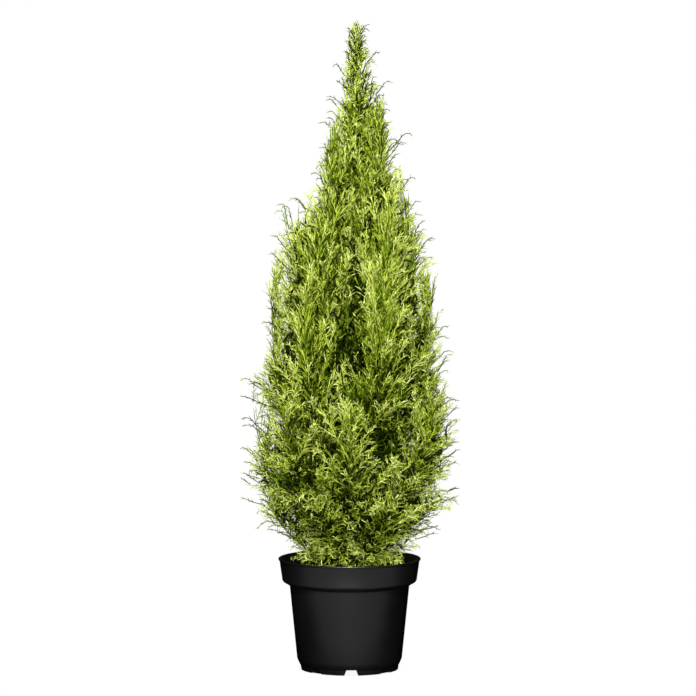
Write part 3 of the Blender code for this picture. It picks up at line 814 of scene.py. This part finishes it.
def gatherSpace():
    s = spaceSettings
    stems = [[bezier(plan["knots"], share) for share in stemShares(plan, s["stemSteps"])]
             for plan in plumes]
    heights = np.linspace(trunkPlan["foot"], trunkPlan["tip"], s["trunkSteps"])
    limbs = [[trunkLine(height) for height in heights]]
    radii = [[trunkRadius(height) for height in heights]]
    for plan in boughs:
        shares = np.linspace(0, plan["bare"], s["boughSteps"])
        limbs.append([bezier(plan["knots"], share) for share in shares])
        radii.append(plan["radius"] * np.linspace(1, boughPlan["taper"], s["boughSteps"]))
    return {"stems": segmentsOf(stems), "stemStarts": s["stemSteps"] * np.arange(len(plumes)),
            "limbs": segmentsOf(limbs),
            "limbRadii": np.concatenate([np.maximum(part[:-1], part[1:]) for part in radii])}


space = gatherSpace()


def distances(points, first, last):
    # from each point to each segment
    along = last - first
    offset = points[:, None, :] - first[None]
    share = np.clip(np.einsum("pij,ij->pi", offset, along) / (along**2).sum(1), 0, 1)
    offset -= share[..., None] * along[None]
    return np.sqrt(np.einsum("pij,pij->pi", offset, offset))


def fits(points, owners, slacks):
    # whether each point may hold foliage of the plume that owns it; slacks move the crown's edge out
    s = spaceSettings
    good = np.zeros(len(points), bool)
    across, edge = crownDepth(points)
    fromAxis = np.hypot(points[:, 0], points[:, 1])
    inPot = np.minimum(potSettings["collarFoot"] - fromAxis, points[:, 2] - soilHigh.z + s["soilClear"])
    clearOfPot = np.maximum(inPot, points[:, 2] - potSettings["height"]) > s["potClear"]
    inCrown = (across < edge + slacks) & (np.abs(points[:, 1]) < s["sideLimit"])
    rows = np.flatnonzero(clearOfPot & inCrown)
    for part in np.array_split(rows, max(1, len(rows) // s["batch"])):
        if not len(part):
            continue
        limbs = distances(points[part], *space["limbs"]) - space["limbRadii"]
        clear = limbs.min(1) > s["limbClear"]
        away = np.minimum.reduceat(distances(points[part], *space["stems"]), space["stemStarts"], axis=1)
        owner, row = owners[part], np.arange(len(part))
        own = away[row, owner]
        away[row, owner] = math.inf  # so that the least is another plume's
        inCell = (away.min(1) - own) / 2 > -s["cellSlack"]
        good[part] = clear & (inCell | (owner == noOwner))
    return good


def fitsAnyPlume(points, slack):
    return fits(points, np.full(len(points), noOwner), np.full(len(points), slack))


# lines of points, gathered in layers: one row for each shoot

bend = {"riseRate": 1.6, "nodFrom": 0.60, "nodPower": 1.5, "nodOut": 0.7, "stray": 0.10}


def bentLines(starts, directions, lengths, steps, lift, nod, stray=bend["stray"]):
    # lines that rise a little and nod at the tip, as arrays of points
    count = len(starts)
    lift, nod = np.zeros(count) + lift, np.zeros(count) + nod
    points = np.empty((count, steps + 1, 3))
    points[:, 0] = starts
    outward = unit(starts * (1, 1, 0) + (1e-6, 0, 0))
    up = np.array((0, 0, 1.0))
    wander = chance.normal(0, 1, (count, 3)) * np.reshape(stray, (-1, 1))
    for step in range(steps):
        share = (step + 0.5) / steps
        rising = lift * min(1, bend["riseRate"] * share)
        nodding = nod * max(0, (share - bend["nodFrom"]) / (1 - bend["nodFrom"])) ** bend["nodPower"]
        heading = unit(directions + np.outer(rising - nodding, up)
                       + nodding[:, None] * outward * bend["nodOut"] + wander * share)
        points[:, step + 1] = points[:, step] + heading * (lengths / steps)[:, None]
    return points


def layer(points, lengths, owners, slacks, tips, tones):
    # tips runs from 0 at a lateral's root to 1 at its tip, and is below 0 on the inner shoots; it sets the
    # painted shade at the roots and inside and the painted light at the tips, and which threads carry scale
    # leaves
    return {"points": points, "lengths": lengths, "owners": owners, "slacks": slacks,
            "tips": tips, "tones": tones}


def freeLayer(keep, lines, lengths, slack, tips, tones=(-1, 1)):
    # shoots that no plume owns
    count = keep.sum()
    return layer(lines[keep], lengths[keep], np.full(count, noOwner), np.full(count, slack),
                 np.zeros(count) + tips, chance.uniform(*tones, count))


def joinLayers(*layers):
    return {key: np.concatenate([part[key] for part in layers]) for key in layers[0]}


def pick(part, rows):
    return {key: values[rows] for key, values in part.items()}


# laterals on each plume's stem

lateralSettings = {
    "spacing": 0.0028, "radius": 0.00085, "steps": 6, "stemSteps": 12, "angleJitter": 5,
    "leadingEvery": 3, "leadingLength": (0.92, 1.15), "fillingLength": (0.50, 0.85),
    "shapeLeast": 0.22, "shapeFrom": 0.20, "shapePower": 0.75, "lift": (0.6, 1.3), "nod": (0.2, 1.6),
    "plumeTone": 0.3, "ownTone": 0.5, "leadingTone": 0.42, "liftAtTip": 0.5,
    "tuck": -0.003, "raggedness": 0.008, "furthest": 0.018, "childSlack": 0.003,
    "thinAhead": 0.03, "thinBelow": 0.08, "thinLeast": 0.4, "tries": (1.3, 1.15, 1.0, 0.85, 0.7, 0.55, 0.4),
}


def plumeShape(share):
    s = lateralSettings
    rising = s["shapeFrom"] + (1 - s["shapeFrom"]) * share
    return float(np.maximum(s["shapeLeast"], np.sin(np.pi * np.array(rising) ** s["shapePower"])))


def planLaterals():
    # every third lateral leads: it is longer, brighter and branches again; the others fill between
    s = lateralSettings
    rows = []
    for owner, plan in enumerate(plumes):
        stem = [bezier(plan["knots"], share) for share in stemShares(plan, s["stemSteps"])]
        count = int(sum((b - a).length for a, b in zip(stem, stem[1:])) / s["spacing"])
        spin = chance.uniform(0, math.tau)
        plumeTone = chance.uniform(-1, 1)
        for index in range(count):
            share = (index + 0.5) / count
            place = plan["bare"] + (1 - plan["bare"]) * share
            along = bezierDirection(plan["knots"], place)
            low, high = plan["angles"]
            angle = math.radians(low + (high - low) * share + chance.normal(0, s["angleJitter"]))
            heading = np.array(along) * math.cos(angle) \
                + sideways(along, spin + goldenAngle * index) * math.sin(angle)
            leading = index % s["leadingEvery"] == 0
            reach = plan["plume"] * plumeShape(share) / math.sin(angle)
            length = reach * chance.uniform(*s["leadingLength" if leading else "fillingLength"])
            lift, nod = plan["lift"] * chance.uniform(*s["lift"]), plan["nod"] * chance.uniform(*s["nod"])
            tone = s["plumeTone"] * plumeTone + s["ownTone"] * chance.uniform(-1, 1) \
                + (s["leadingTone"] if leading else -s["leadingTone"])
            rows.append((*bezier(plan["knots"], place), *heading, length, owner, lift, nod, tone, leading))
    return np.array(rows)


def plumeLaterals():
    # each lateral takes the longest of a few lengths that fits its space
    s = lateralSettings
    rows = planLaterals()
    starts, directions = rows[:, 0:3], rows[:, 3:6]
    lengths, owners, lifts, nods, tones, leads = rows[:, 6:].T
    owners, leads = owners.astype(int), leads > 0
    slacks = np.minimum(s["tuck"] + chance.exponential(s["raggedness"], len(rows)), s["furthest"])
    slacks *= np.clip(crownRadius(starts[:, 2] + s["thinAhead"]) / s["thinBelow"], s["thinLeast"], 1)
    chosen = np.zeros(len(starts))
    for share in s["tries"]:
        left = np.flatnonzero(chosen == 0)
        tips = starts[left] + unit(directions[left] + (0, 0, s["liftAtTip"]) * lifts[left, None]) \
            * (lengths[left] * share)[:, None]
        middles = (starts[left] + tips) / 2
        good = fits(tips, owners[left], slacks[left]) & fits(middles, owners[left], slacks[left])
        chosen[left[good]] = share
    keep = chosen > 0
    lengths = (lengths * chosen)[keep]
    lines = bentLines(starts[keep], directions[keep], lengths, s["steps"], lifts[keep], nods[keep])
    laterals = layer(lines, lengths, owners[keep], slacks[keep] + s["childSlack"], np.zeros(keep.sum()),
                     tones[keep])
    return pick(laterals, leads[keep]), pick(laterals, ~leads[keep])


# shoots on the trunk, on the bare lengths of boughs and on the stems, painted dark as shade, which fill the
# inside

innerSettings = {
    "boughFrom": 0.15, "boughSpacing": 0.0055 / 0.09, "boughLength": 0.042, "boughHeading": (0.5, 0.85),
    "stemTo": 0.88, "stemSpacing": 0.0065 / 0.30, "stemLength": 0.064, "stemHeading": (0.8, 0.7),
    "stemShrink": 1.15,
    "lowPlumes": 0.5, "lowGain": 1.2, "highGain": 0.8,
    "trunkFrom": 0.008, "trunkPast": 0.1, "trunkSpacing": 0.0016, "trunkDepth": 0.74, "trunkRise": 0.35,
    "trunkLift": 0.3, "trunkAhead": 0.02,
    "sunk": 0.7, "trunkSunk": 0.8, "lengths": (0.5, 1.1), "slack": -0.009, "steps": 5, "lift": 0.3,
    "nod": 0.2,
    "lighterFrom": (0.50, 0.72), "tips": (-1.0, 0.30), "threadRadius": 0.0022,
}


def innerShoots():
    s = innerSettings
    starts, directions, longest = [], [], []

    def shootsAlong(owner, plan, places, heading, radius):
        for index, place in enumerate(places):
            along = bezierDirection(plan["knots"], place)
            side = sideways(along, goldenAngle * index + owner)
            starts.append(np.array(bezier(plan["knots"], place)) + side * radius * s["sunk"])
            directions.append(np.array(along) * heading[0] + side * heading[1])

    for owner, plan in enumerate(boughs):
        places = np.arange(s["boughFrom"], 1, s["boughSpacing"]) * plan["bare"]
        shootsAlong(owner, plan, places, s["boughHeading"], plan["radius"])
        longest.extend([s["boughLength"]] * len(places))
    for owner, plan in enumerate(plumes):
        places = np.arange(plan["bare"], s["stemTo"], s["stemSpacing"])
        shootsAlong(owner, plan, places, s["stemHeading"], 0)
        gain = s["lowGain"] if plan["tip"] < s["lowPlumes"] else s["highGain"]
        longest.extend(s["stemLength"] * (s["stemShrink"] - places) * gain)
    heights = np.arange(trunkPlan["foot"] + s["trunkFrom"], trunkPlan["tip"] + s["trunkPast"],
                        s["trunkSpacing"])
    for index, height in enumerate(heights):
        turn = goldenAngle * index
        side = np.array((math.cos(turn), math.sin(turn), s["trunkRise"]))
        radius = trunkRadius(min(height, trunkPlan["tip"]))
        starts.append(np.array(trunkLine(height)) + side * radius * s["trunkSunk"])
        directions.append(side + (0, 0, s["trunkLift"]))
    longest.extend(crownRadius(heights + s["trunkAhead"]) * s["trunkDepth"])
    starts, directions = np.array(starts), unit(np.array(directions))
    lengths = np.array(longest) * chance.uniform(*s["lengths"], len(starts))
    keep = fitsAnyPlume(starts + directions * lengths[:, None], s["slack"])
    lines = bentLines(starts, directions, lengths, s["steps"], s["lift"], s["nod"])
    # painted shade: the inner shoots are darkest low down and less dark from the crown's middle up
    tips = np.interp(starts[keep][:, 2], s["lighterFrom"], s["tips"])
    return freeLayer(keep, lines, lengths, s["slack"], tips)


# leafy shoots on the lowest boughs and round the trunk's foot, hanging inside the rim

spillSettings = {
    "perBough": 14, "boughShare": 1.3, "heading": (0.8, 0.7), "roundTrunk": 90, "trunkFrom": 0.012,
    "trunkSpan": 0.045, "trunkOut": 0.010, "rise": (0.2, 0.9), "length": 0.052, "lengths": (0.6, 1.25),
    "slack": 0.002, "steps": 6, "lift": 0.1, "nod": 1.4, "tips": 0.1,
}


def spillShoots():
    s = spillSettings
    starts, directions = [], []
    for plan in boughs[:tiers[0]["count"]]:
        for index in range(s["perBough"]):
            place = plan["bare"] * (index + 0.5) / s["perBough"] * s["boughShare"]
            along = np.array(bezierDirection(plan["knots"], place))
            across = np.cross(along, (0, 0, 1.0))
            turn = goldenAngle * index
            directions.append(along * s["heading"][0] + across * math.cos(turn)
                              + (0, 0, s["heading"][1] * math.sin(turn)))
            starts.append(bezier(plan["knots"], place))
    for index in range(s["roundTrunk"]):
        turn = goldenAngle * index
        height = trunkPlan["foot"] + s["trunkFrom"] + s["trunkSpan"] * index / s["roundTrunk"]
        directions.append((math.cos(turn), math.sin(turn), chance.uniform(*s["rise"])))
        out = s["trunkOut"]
        starts.append(np.array(trunkLine(height)) + (out * math.cos(turn), out * math.sin(turn), 0))
    starts, directions = np.array(starts, float), unit(np.array(directions))
    lengths = s["length"] * chance.uniform(*s["lengths"], len(starts))
    lines = bentLines(starts, directions, lengths, s["steps"], s["lift"], s["nod"])
    keep = fitsAnyPlume(lines[:, -1], s["slack"]) & fitsAnyPlume(lines[:, s["steps"] // 2], s["slack"])
    return freeLayer(keep, lines, lengths, s["slack"], s["tips"])


# shoots painted dim as shade, set just inside the crown's edge, which close the gaps between plumes

fillSettings = {
    "count": 1150, "heights": (0.235, 0.74), "depth": (0.36, 0.84), "outward": (0.1, 0.5), "spread": 0.25,
    "length": 0.042, "lengths": (0.6, 1.2), "slack": -0.009, "steps": 5, "lift": 0.3, "nod": 0.3,
    "tips": -0.15,
}


def fillShoots():
    s = fillSettings
    count = s["count"]
    turns, heights = chance.uniform(0, 360, count), chance.uniform(*s["heights"], count)
    out = outwards(turns)
    inside = crownEdge(turns, heights) * chance.uniform(*s["depth"], count)
    starts = out * inside[:, None] + crownLine(heights)
    headings = unit(out * chance.uniform(*s["outward"], count)[:, None] + (0, 0, 1.0)
                    + chance.normal(0, s["spread"], (count, 3)))
    lengths = s["length"] * chance.uniform(*s["lengths"], count)
    lines = bentLines(starts, headings, lengths, s["steps"], s["lift"], s["nod"])
    keep = fitsAnyPlume(lines[:, -1], s["slack"]) & fitsAnyPlume(lines[:, s["steps"] // 2], s["slack"])
    return freeLayer(keep, lines, lengths, s["slack"], s["tips"])


# long loose shoots that stand out of the crown all round and curl over at the tip

wispSettings = {
    "perPlume": 11, "lowest": 0.195, "span": 0.805, "low": 1.25, "top": 44, "topHeights": (0.83, 0.985),
    "length": (0.026, 0.056), "nod": (0.8, 3.2), "lift": 0.30, "steps": 9, "radius": 0.00095,
    "lengthHeights": (0.45, 0.75, 1.0), "lengthGains": (1.25, 1.0, 0.60),
    "steepHeights": (0.20, 0.28, 0.60, 1.0), "steepness": (0.20, 0.30, 1.1, 1.5), "steepJitter": (0.7, 1.3),
    "inset": 0.020, "boldInset": 0.4, "spread": 0.22, "boldSpread": 0.3, "stray": 0.28, "boldStray": 0.10,
    "reach": 0.172, "leastShrink": 0.3, "sidePast": 0.006, "highest": 1.016,
    "slack": 0.05, "tips": -0.20, "tones": (-0.7, 0.5),
}
# the boldest wisps: turn in degrees, foot's height, length, steepness and nod
boldWisps = (
    (0, 0.816, 0.052, 0.85, 1.8), (356, 0.806, 0.042, 1.00, 2.4), (3, 0.752, 0.040, 1.10, 2.2),
    (356, 0.715, 0.036, 1.20, 2.0), (2, 0.655, 0.036, 1.30, 2.2), (178, 0.722, 0.040, 0.80, 3.0),
    (180, 0.694, 0.054, 4.50, 3.2), (186, 0.690, 0.046, 3.60, 2.8), (175, 0.700, 0.042, 4.20, 3.0),
    (176, 0.662, 0.036, 1.20, 2.2), (180, 0.845, 0.036, 0.90, 2.6), (183, 0.880, 0.032, 1.00, 2.4),
    (179, 0.440, 0.056, 0.40, 2.2), (182, 0.415, 0.060, 0.30, 0.6), (182, 0.372, 0.056, 0.90, 2.4),
    (180, 0.335, 0.052, 0.60, 1.6), (178, 0.292, 0.050, 0.30, 0.6), (183, 0.262, 0.046, 0.15, 0.3),
    (1, 0.470, 0.040, 1.20, 1.8), (359, 0.520, 0.036, 1.30, 1.8), (0, 0.400, 0.042, 0.90, 1.4),
    (2, 0.335, 0.040, 0.50, 0.8), (357, 0.270, 0.044, 0.30, 0.5), (0, 0.905, 0.036, 1.20, 2.6),
    (178, 0.935, 0.028, 1.10, 2.4), (5, 0.955, 0.028, 1.10, 2.6), (0, 0.206, 0.036, 0.25, 0.5),
    (4, 0.218, 0.034, 0.20, 0.3), (180, 0.208, 0.032, 0.20, 0.5), (176, 0.220, 0.028, 0.15, 0.3),
)


def wispShoots():
    s = wispSettings
    count = s["perPlume"] * len(plumes)
    turns = chance.uniform(0, 360, count)
    heights = s["lowest"] + s["span"] * ((np.arange(count) * goldenRatio) % 1) ** s["low"]
    heights[:s["top"]] = chance.uniform(*s["topHeights"], s["top"])
    lengths = chance.uniform(*s["length"], count) * np.interp(heights, s["lengthHeights"], s["lengthGains"])
    steep = np.interp(heights, s["steepHeights"], s["steepness"]) * chance.uniform(*s["steepJitter"], count)
    nods = chance.uniform(*s["nod"], count)
    rows = np.concatenate([np.array(boldWisps), np.column_stack([turns, heights, lengths, steep, nods])])
    turns, heights, lengths, steep, nods = rows.T
    bold = np.arange(len(rows)) < len(boldWisps)
    out = outwards(turns)
    inset = np.maximum(crownEdge(turns, heights) - np.where(bold, s["boldInset"], 1) * s["inset"], 0.002)
    starts = out * inset[:, None] + crownLine(heights)
    spread = chance.normal(0, s["spread"], (len(rows), 3)) * np.where(bold, s["boldSpread"], 1)[:, None]
    headings = unit(out + steep[:, None] * (0, 0, 1.0) + spread)
    lines = bentLines(starts, headings, lengths, s["steps"], s["lift"], nods,
                      np.where(bold, s["boldStray"], s["stray"]))
    foot, far = np.hypot(starts[:, 0], starts[:, 1]), np.hypot(lines[..., 0], lines[..., 1]).max(1)
    shrink = np.clip((s["reach"] - foot) / np.maximum(far - foot, 1e-4), s["leastShrink"], 1)
    lines = starts[:, None] + (lines - starts[:, None]) * shrink[:, None, None]
    keep = (np.abs(lines[..., 1]).max(1) < spaceSettings["sideLimit"] + s["sidePast"]) \
        & (lines[..., 2].max(1) < s["highest"])
    return freeLayer(keep, lines, lengths * shrink, s["slack"], s["tips"], s["tones"])


# finer growth: children along each shoot, down to the scale leaves

branches = {
    "second": {"spacing": 0.0075, "angle": 32, "span": (0.08, 0.92), "steps": 3, "lift": 0.15, "nod": 0.30,
               "gain": 0.85},
    "thread": {"spacing": 0.0040, "angle": 30, "span": (0.06, 0.98), "steps": 2, "lift": 0.10, "nod": 0.35,
               "tone": 1.5},
    "innerThread": {"spacing": 0.0058, "angle": 45, "span": (0.10, 1.0), "steps": 2, "lift": 0.1,
                    "nod": 0.1},
    "wispThread": {"spacing": 0.0034, "angle": 30, "span": (0.20, 0.97), "steps": 2, "lift": 0.1,
                   "nod": 0.5, "gain": 0.65},
    "needle": {"spacing": 0.0050, "angle": 31, "span": (0.12, 0.92), "steps": 1, "lift": 0.0, "nod": 0.0,
               "gain": 0.08, "test": False},
}
# a length, the share of it at the parent's foot, and how far that share falls by the parent's tip
branchLengths = {
    "thread": (0.0146, 1.15, 0.55), "innerThread": (0.019, 1, 0), "wispThread": (0.0078, 1.2, 0.6),
    "needle": (0.0042, 1.2, 0.5),
}
secondLength = {"least": 0.008, "share": 0.42, "longest": 0.030}
threadParent = {"usual": 0.02, "least": 0.6, "most": 1.1}
branchRadii = {"second": 0.00074, "thread": 0.00064, "needle": 0.00044}
# how far branches stray from the rule; one that doesn't fit is tried once more, shorter
straying = {"place": (0.2, 0.8), "turn": 0.4, "lean": 5, "size": (0.75, 1.2), "shorter": 0.55}
needlesFrom = 0.34  # only the outer threads carry scale leaves


def branchLength(kind, share, parentLength):
    if kind == "second":
        grown = secondLength["least"] + (1 - share) * parentLength * secondLength["share"]
        return np.minimum(grown, secondLength["longest"])
    length, foot, fall = branchLengths[kind]
    length = length * (foot - fall * share)
    if kind == "thread":
        ratio = parentLength / threadParent["usual"]
        length = length * np.clip(ratio, threadParent["least"], threadParent["most"])
    return length


def branchOff(kind, parents, spacing, angle, span, steps, lift, nod, gain=0.0, test=True, tone=0.0):
    # children along each parent line, set round it by the golden angle
    lengths, points = parents["lengths"], parents["points"]
    counts = np.maximum(1, (lengths * (span[1] - span[0]) / spacing).astype(int))
    row = np.repeat(np.arange(len(lengths)), counts)
    order = np.arange(len(row)) - np.repeat(np.cumsum(counts) - counts, counts)
    along = (order + chance.uniform(*straying["place"], len(row))) / counts[row]
    share = span[0] + (span[1] - span[0]) * along
    pieces = points.shape[1] - 1
    slot = np.minimum((share * pieces).astype(int), pieces - 1)
    rest = (share * pieces - slot)[:, None]
    start = points[row, slot] * (1 - rest) + points[row, slot + 1] * rest
    tangent = unit(points[row, slot + 1] - points[row, slot])
    sideA = unit(np.cross(tangent, unit(chance.normal(0, 1, (len(lengths), 3)))[row]))
    sideB = np.cross(tangent, sideA)
    turn = goldenAngle * order + chance.uniform(-straying["turn"], straying["turn"], len(row))
    side = sideA * np.cos(turn)[:, None] + sideB * np.sin(turn)[:, None]
    owners, slacks = parents["owners"][row], parents["slacks"][row]
    lean = np.radians((angle + chance.normal(0, straying["lean"], len(row))) * plumeSplays[owners])
    heading = tangent * np.cos(lean)[:, None] + side * np.sin(lean)[:, None]
    size = branchLength(kind, share, lengths[row]) * chance.uniform(*straying["size"], len(row))
    tips = parents["tips"][row] + gain * share
    if test:
        good = fits(start + heading * size[:, None], owners, slacks)
        size = np.where(good, size, size * straying["shorter"])
        good |= fits(start + heading * size[:, None], owners, slacks)
        start, heading, size, row = start[good], heading[good], size[good], row[good]
        owners, slacks, tips = owners[good], slacks[good], tips[good]
    lines = bentLines(start, heading, size, steps, lift, nod, plumeCurls[owners])
    tones = parents["tones"][row] + tone * chance.uniform(-1, 1, len(start))
    return layer(lines, size, owners, slacks, tips, tones)


stemSettings = {"points": 20, "to": 0.97, "tipRadius": 0.0006}


def stemLines():
    # each plume's own stem, from its bough's tip to the top spray
    s = stemSettings
    lines, radii = [], []
    for plan in plumes:
        shares = plan["bare"] + (s["to"] - plan["bare"]) * np.linspace(0, 1, s["points"])
        lines.append([bezier(plan["knots"], share) for share in shares])
        radii.append(np.linspace(plan["radius"] * boughPlan["taper"], s["tipRadius"], s["points"] - 1))
    return np.array(lines, float), np.array(radii)


def tubeArrays(lines, radii):
    # three-sided tapering tubes with a pointed tip and a closed foot
    count, knots = lines.shape[0], lines.shape[1]
    rings = knots - 1
    radii = np.broadcast_to(radii, (count, rings))
    tangent = unit(lines[:, 1:] - lines[:, :-1])
    reference = unit(chance.normal(0, 1, (count, 1, 3)))
    sideA = unit(reference - (reference * tangent).sum(-1, keepdims=True) * tangent)
    sideB = np.cross(tangent, sideA)
    corners = np.empty((count, rings * 3 + 1, 3), np.float32)
    for corner in range(3):
        turn = math.tau * corner / 3
        ring = lines[:, :-1] + radii[..., None] * (sideA * math.cos(turn) + sideB * math.sin(turn))
        corners[:, corner:rings * 3:3] = ring
    corners[:, -1] = lines[:, -1]
    faces = [(2, 1, 0)]
    for ring in range(rings - 1):
        low, high = ring * 3, ring * 3 + 3
        for corner in range(3):
            other = (corner + 1) % 3
            faces.append((low + corner, low + other, high + other))
            faces.append((low + corner, high + other, high + corner))
    top = (rings - 1) * 3
    faces += [(top + corner, top + (corner + 1) % 3, rings * 3) for corner in range(3)]
    return corners, np.array(faces, np.int32)


# how much painted light and shade each shoot takes, with its own tone, and the tint that it takes from that

# weights for the painted light and shade at the laterals' tips, toward the crown's edge and up the leader,
# the shoots' own random tone, and a gain for each kind of shoot
shading = {
    "tips": 0.50, "edge": 0.03, "edgePower": 1.5, "leastEdge": 0.02, "mostDepth": 1.1, "tone": 0.20,
    "leaderFrom": 0.80, "leaderSpan": 0.12, "leaderTips": 0.60,
    "stems": 0.3, "twigGain": 0.25, "wispGain": 0.16, "threadGain": -0.04, "needleGain": 0.09,
}
# a shoot's radius at its tip as a share of that at its foot; a needle has one ring
tipShares = {"twig": 0.6, "thread": 0.8, "innerThread": 0.7}
# height, and how much brighter the foliage is painted there: painted light by height, more low down and
# less at the top
paintedLightByHeight = (
    (0.15, 0.28), (0.24, 0.23), (0.34, 0.20), (0.45, 0.20), (0.60, 0.19), (0.76, 0.21), (0.88, 0.13),
    (1.02, 0.03),
)


def toneAndPaintedLight(part, at, gain=0.0):
    # painted shade deep inside and at the laterals' roots, painted light at their tips; the thin leader is
    # painted bright all over, the height table paints more light low down and less at the top, and the tone
    # is the shoot's own
    s = shading
    points = part["points"][:, at]
    across, edge = crownDepth(points)
    depth = np.clip(across / np.maximum(edge, s["leastEdge"]), 0, s["mostDepth"])
    upper = np.clip((points[:, 2] - s["leaderFrom"]) / s["leaderSpan"], 0, 1) * s["leaderTips"]
    tips = np.where(part["tips"] < 0, part["tips"], np.maximum(part["tips"], upper))
    heightLight = np.interp(points[:, 2], *zip(*paintedLightByHeight))
    return s["tips"] * tips + s["edge"] * depth ** s["edgePower"] + heightLight + s["tone"] * part["tones"] + gain


# lit and shaded copies of the leaf colour: the two darkest are painted shade, the middle one sits between,
# the bright one is painted light and the lime one a painted highlight
tints = (
    {"name": "Shade", "from": -9, "colourA": (0.006, 0.012, 0.0004), "colourB": (0.016, 0.028, 0.001)},
    {"name": "DeepShade", "from": 0.23, "colourA": (0.056, 0.099, 0.002), "colourB": (0.103, 0.163, 0.004)},
    {"name": "Mid", "from": 0.39, "colourA": (0.230, 0.331, 0.014), "colourB": (0.318, 0.430, 0.024)},
    {"name": "Bright", "from": 0.55, "colourA": (0.455, 0.566, 0.062), "colourB": (0.552, 0.655, 0.094)},
    {"name": "LimeHighlight", "from": 0.75, "colourA": (0.680, 0.770, 0.190), "colourB": (0.780, 0.840, 0.260)},
)
leafFinish = {
    "patches": 45, "grain": 420, "stretch": (1, 1, 0.6), "specular": 0.04,
    "roughness": (0.50, 0.70), "bump": 0.05, "depth": 0.0002,
}
mostTriangles = 190000
leafMaterials = [mottledMaterial("leaf" + tint["name"], {**leafFinish, **tint}) for tint in tints]
allMasses = ["foliage_" + plan["name"] for plan in plumes]


def addByTint(kind, parts):
    # parts are (corners, faces, own tone and painted light and shade of each line); each tint becomes one
    # or more pieces
    edges = [tint["from"] for tint in tints] + [math.inf]
    total = 0
    for number, tint in enumerate(tints):
        corners, faces, used = [], [], 0
        for lineCorners, lineFaces, toneAndLight in parts:
            mine = lineCorners[(toneAndLight >= edges[number]) & (toneAndLight < edges[number + 1])]
            step = mine.shape[1]
            corners.append(mine.reshape(-1, 3))
            offsets = used + step * np.arange(len(mine))
            faces.append((lineFaces[None] + offsets[:, None, None]).reshape(-1, 3))
            used += step * len(mine)
        corners, faces = np.concatenate(corners), np.concatenate(faces)
        if not len(faces):
            continue
        shares = int(np.ceil(len(faces) / mostTriangles))
        for share, chosen in enumerate(np.array_split(faces, shares)):
            name = kind + tint["name"] + (str(share + 1) if shares > 1 else "")
            low, high = chosen.min(), chosen.max()
            piece = meshFromArrays(name, corners[low:high + 1], chosen - low, smooth=True)
            finishPiece(piece, leafMaterials[number], allMasses)
        total += len(faces)
        print("  ", kind + tint["name"], len(faces), "triangles")
    return total


def branch(kind, parents, **more):
    return branchOff(kind, parents, **branches[kind], **more)


def growFoliage():
    leading, filling = plumeLaterals()
    spill, wisps = spillShoots(), wispShoots()
    inner = joinLayers(innerShoots(), fillShoots())
    print("  leading", len(leading["lengths"]), "filling", len(filling["lengths"]), "spill",
          len(spill["lengths"]), "wisps", len(wisps["lengths"]), "inner shoots", len(inner["lengths"]))
    leading = joinLayers(leading, spill)
    seconds = branch("second", leading)
    threads = joinLayers(*[branch("thread", parents, gain=gain)
                           for parents, gain in ((leading, 1.0), (filling, 1.0), (seconds, 0.25))])
    innerThreads = branch("innerThread", inner)
    threads = joinLayers(threads, branch("wispThread", wisps))
    needles = branch("needle", pick(threads, threads["tips"] > needlesFrom))
    print("  seconds", len(seconds["lengths"]), "threads", len(threads["lengths"]),
          "inner threads", len(innerThreads["lengths"]), "needles", len(needles["lengths"]))

    stems, stemRadii = stemLines()
    corners, faces = tubeArrays(stems, stemRadii)
    twigParts, leafParts = [(corners, faces, np.full(len(stems), shading["stems"]))], []
    lateral, twigGain = lateralSettings["radius"], shading["twigGain"]
    for part, radius, gain in ((leading, lateral, twigGain), (filling, lateral, twigGain),
                               (seconds, branchRadii["second"], twigGain),
                               (wisps, wispSettings["radius"], shading["wispGain"]),
                               (inner, lateral, twigGain)):
        rings = part["points"].shape[1] - 1
        corners, faces = tubeArrays(part["points"], radius * np.linspace(1, tipShares["twig"], rings))
        twigParts.append((corners, faces, toneAndPaintedLight(part, rings // 2, gain)))
    threadRadii = branchRadii["thread"] * np.array((1, tipShares["thread"]))
    innerRadii = innerSettings["threadRadius"] * np.array((1, tipShares["innerThread"]))
    for part, radii, gain in ((threads, threadRadii, shading["threadGain"]),
                              (innerThreads, innerRadii, 0.0),
                              (needles, np.array((branchRadii["needle"],)), shading["needleGain"])):
        corners, faces = tubeArrays(part["points"], radii)
        leafParts.append((corners, faces, toneAndPaintedLight(part, -1, gain)))
    total = addByTint("shoots", twigParts) + addByTint("needles", leafParts)
    print("foliage grown:", total, "triangles")


growFoliage()
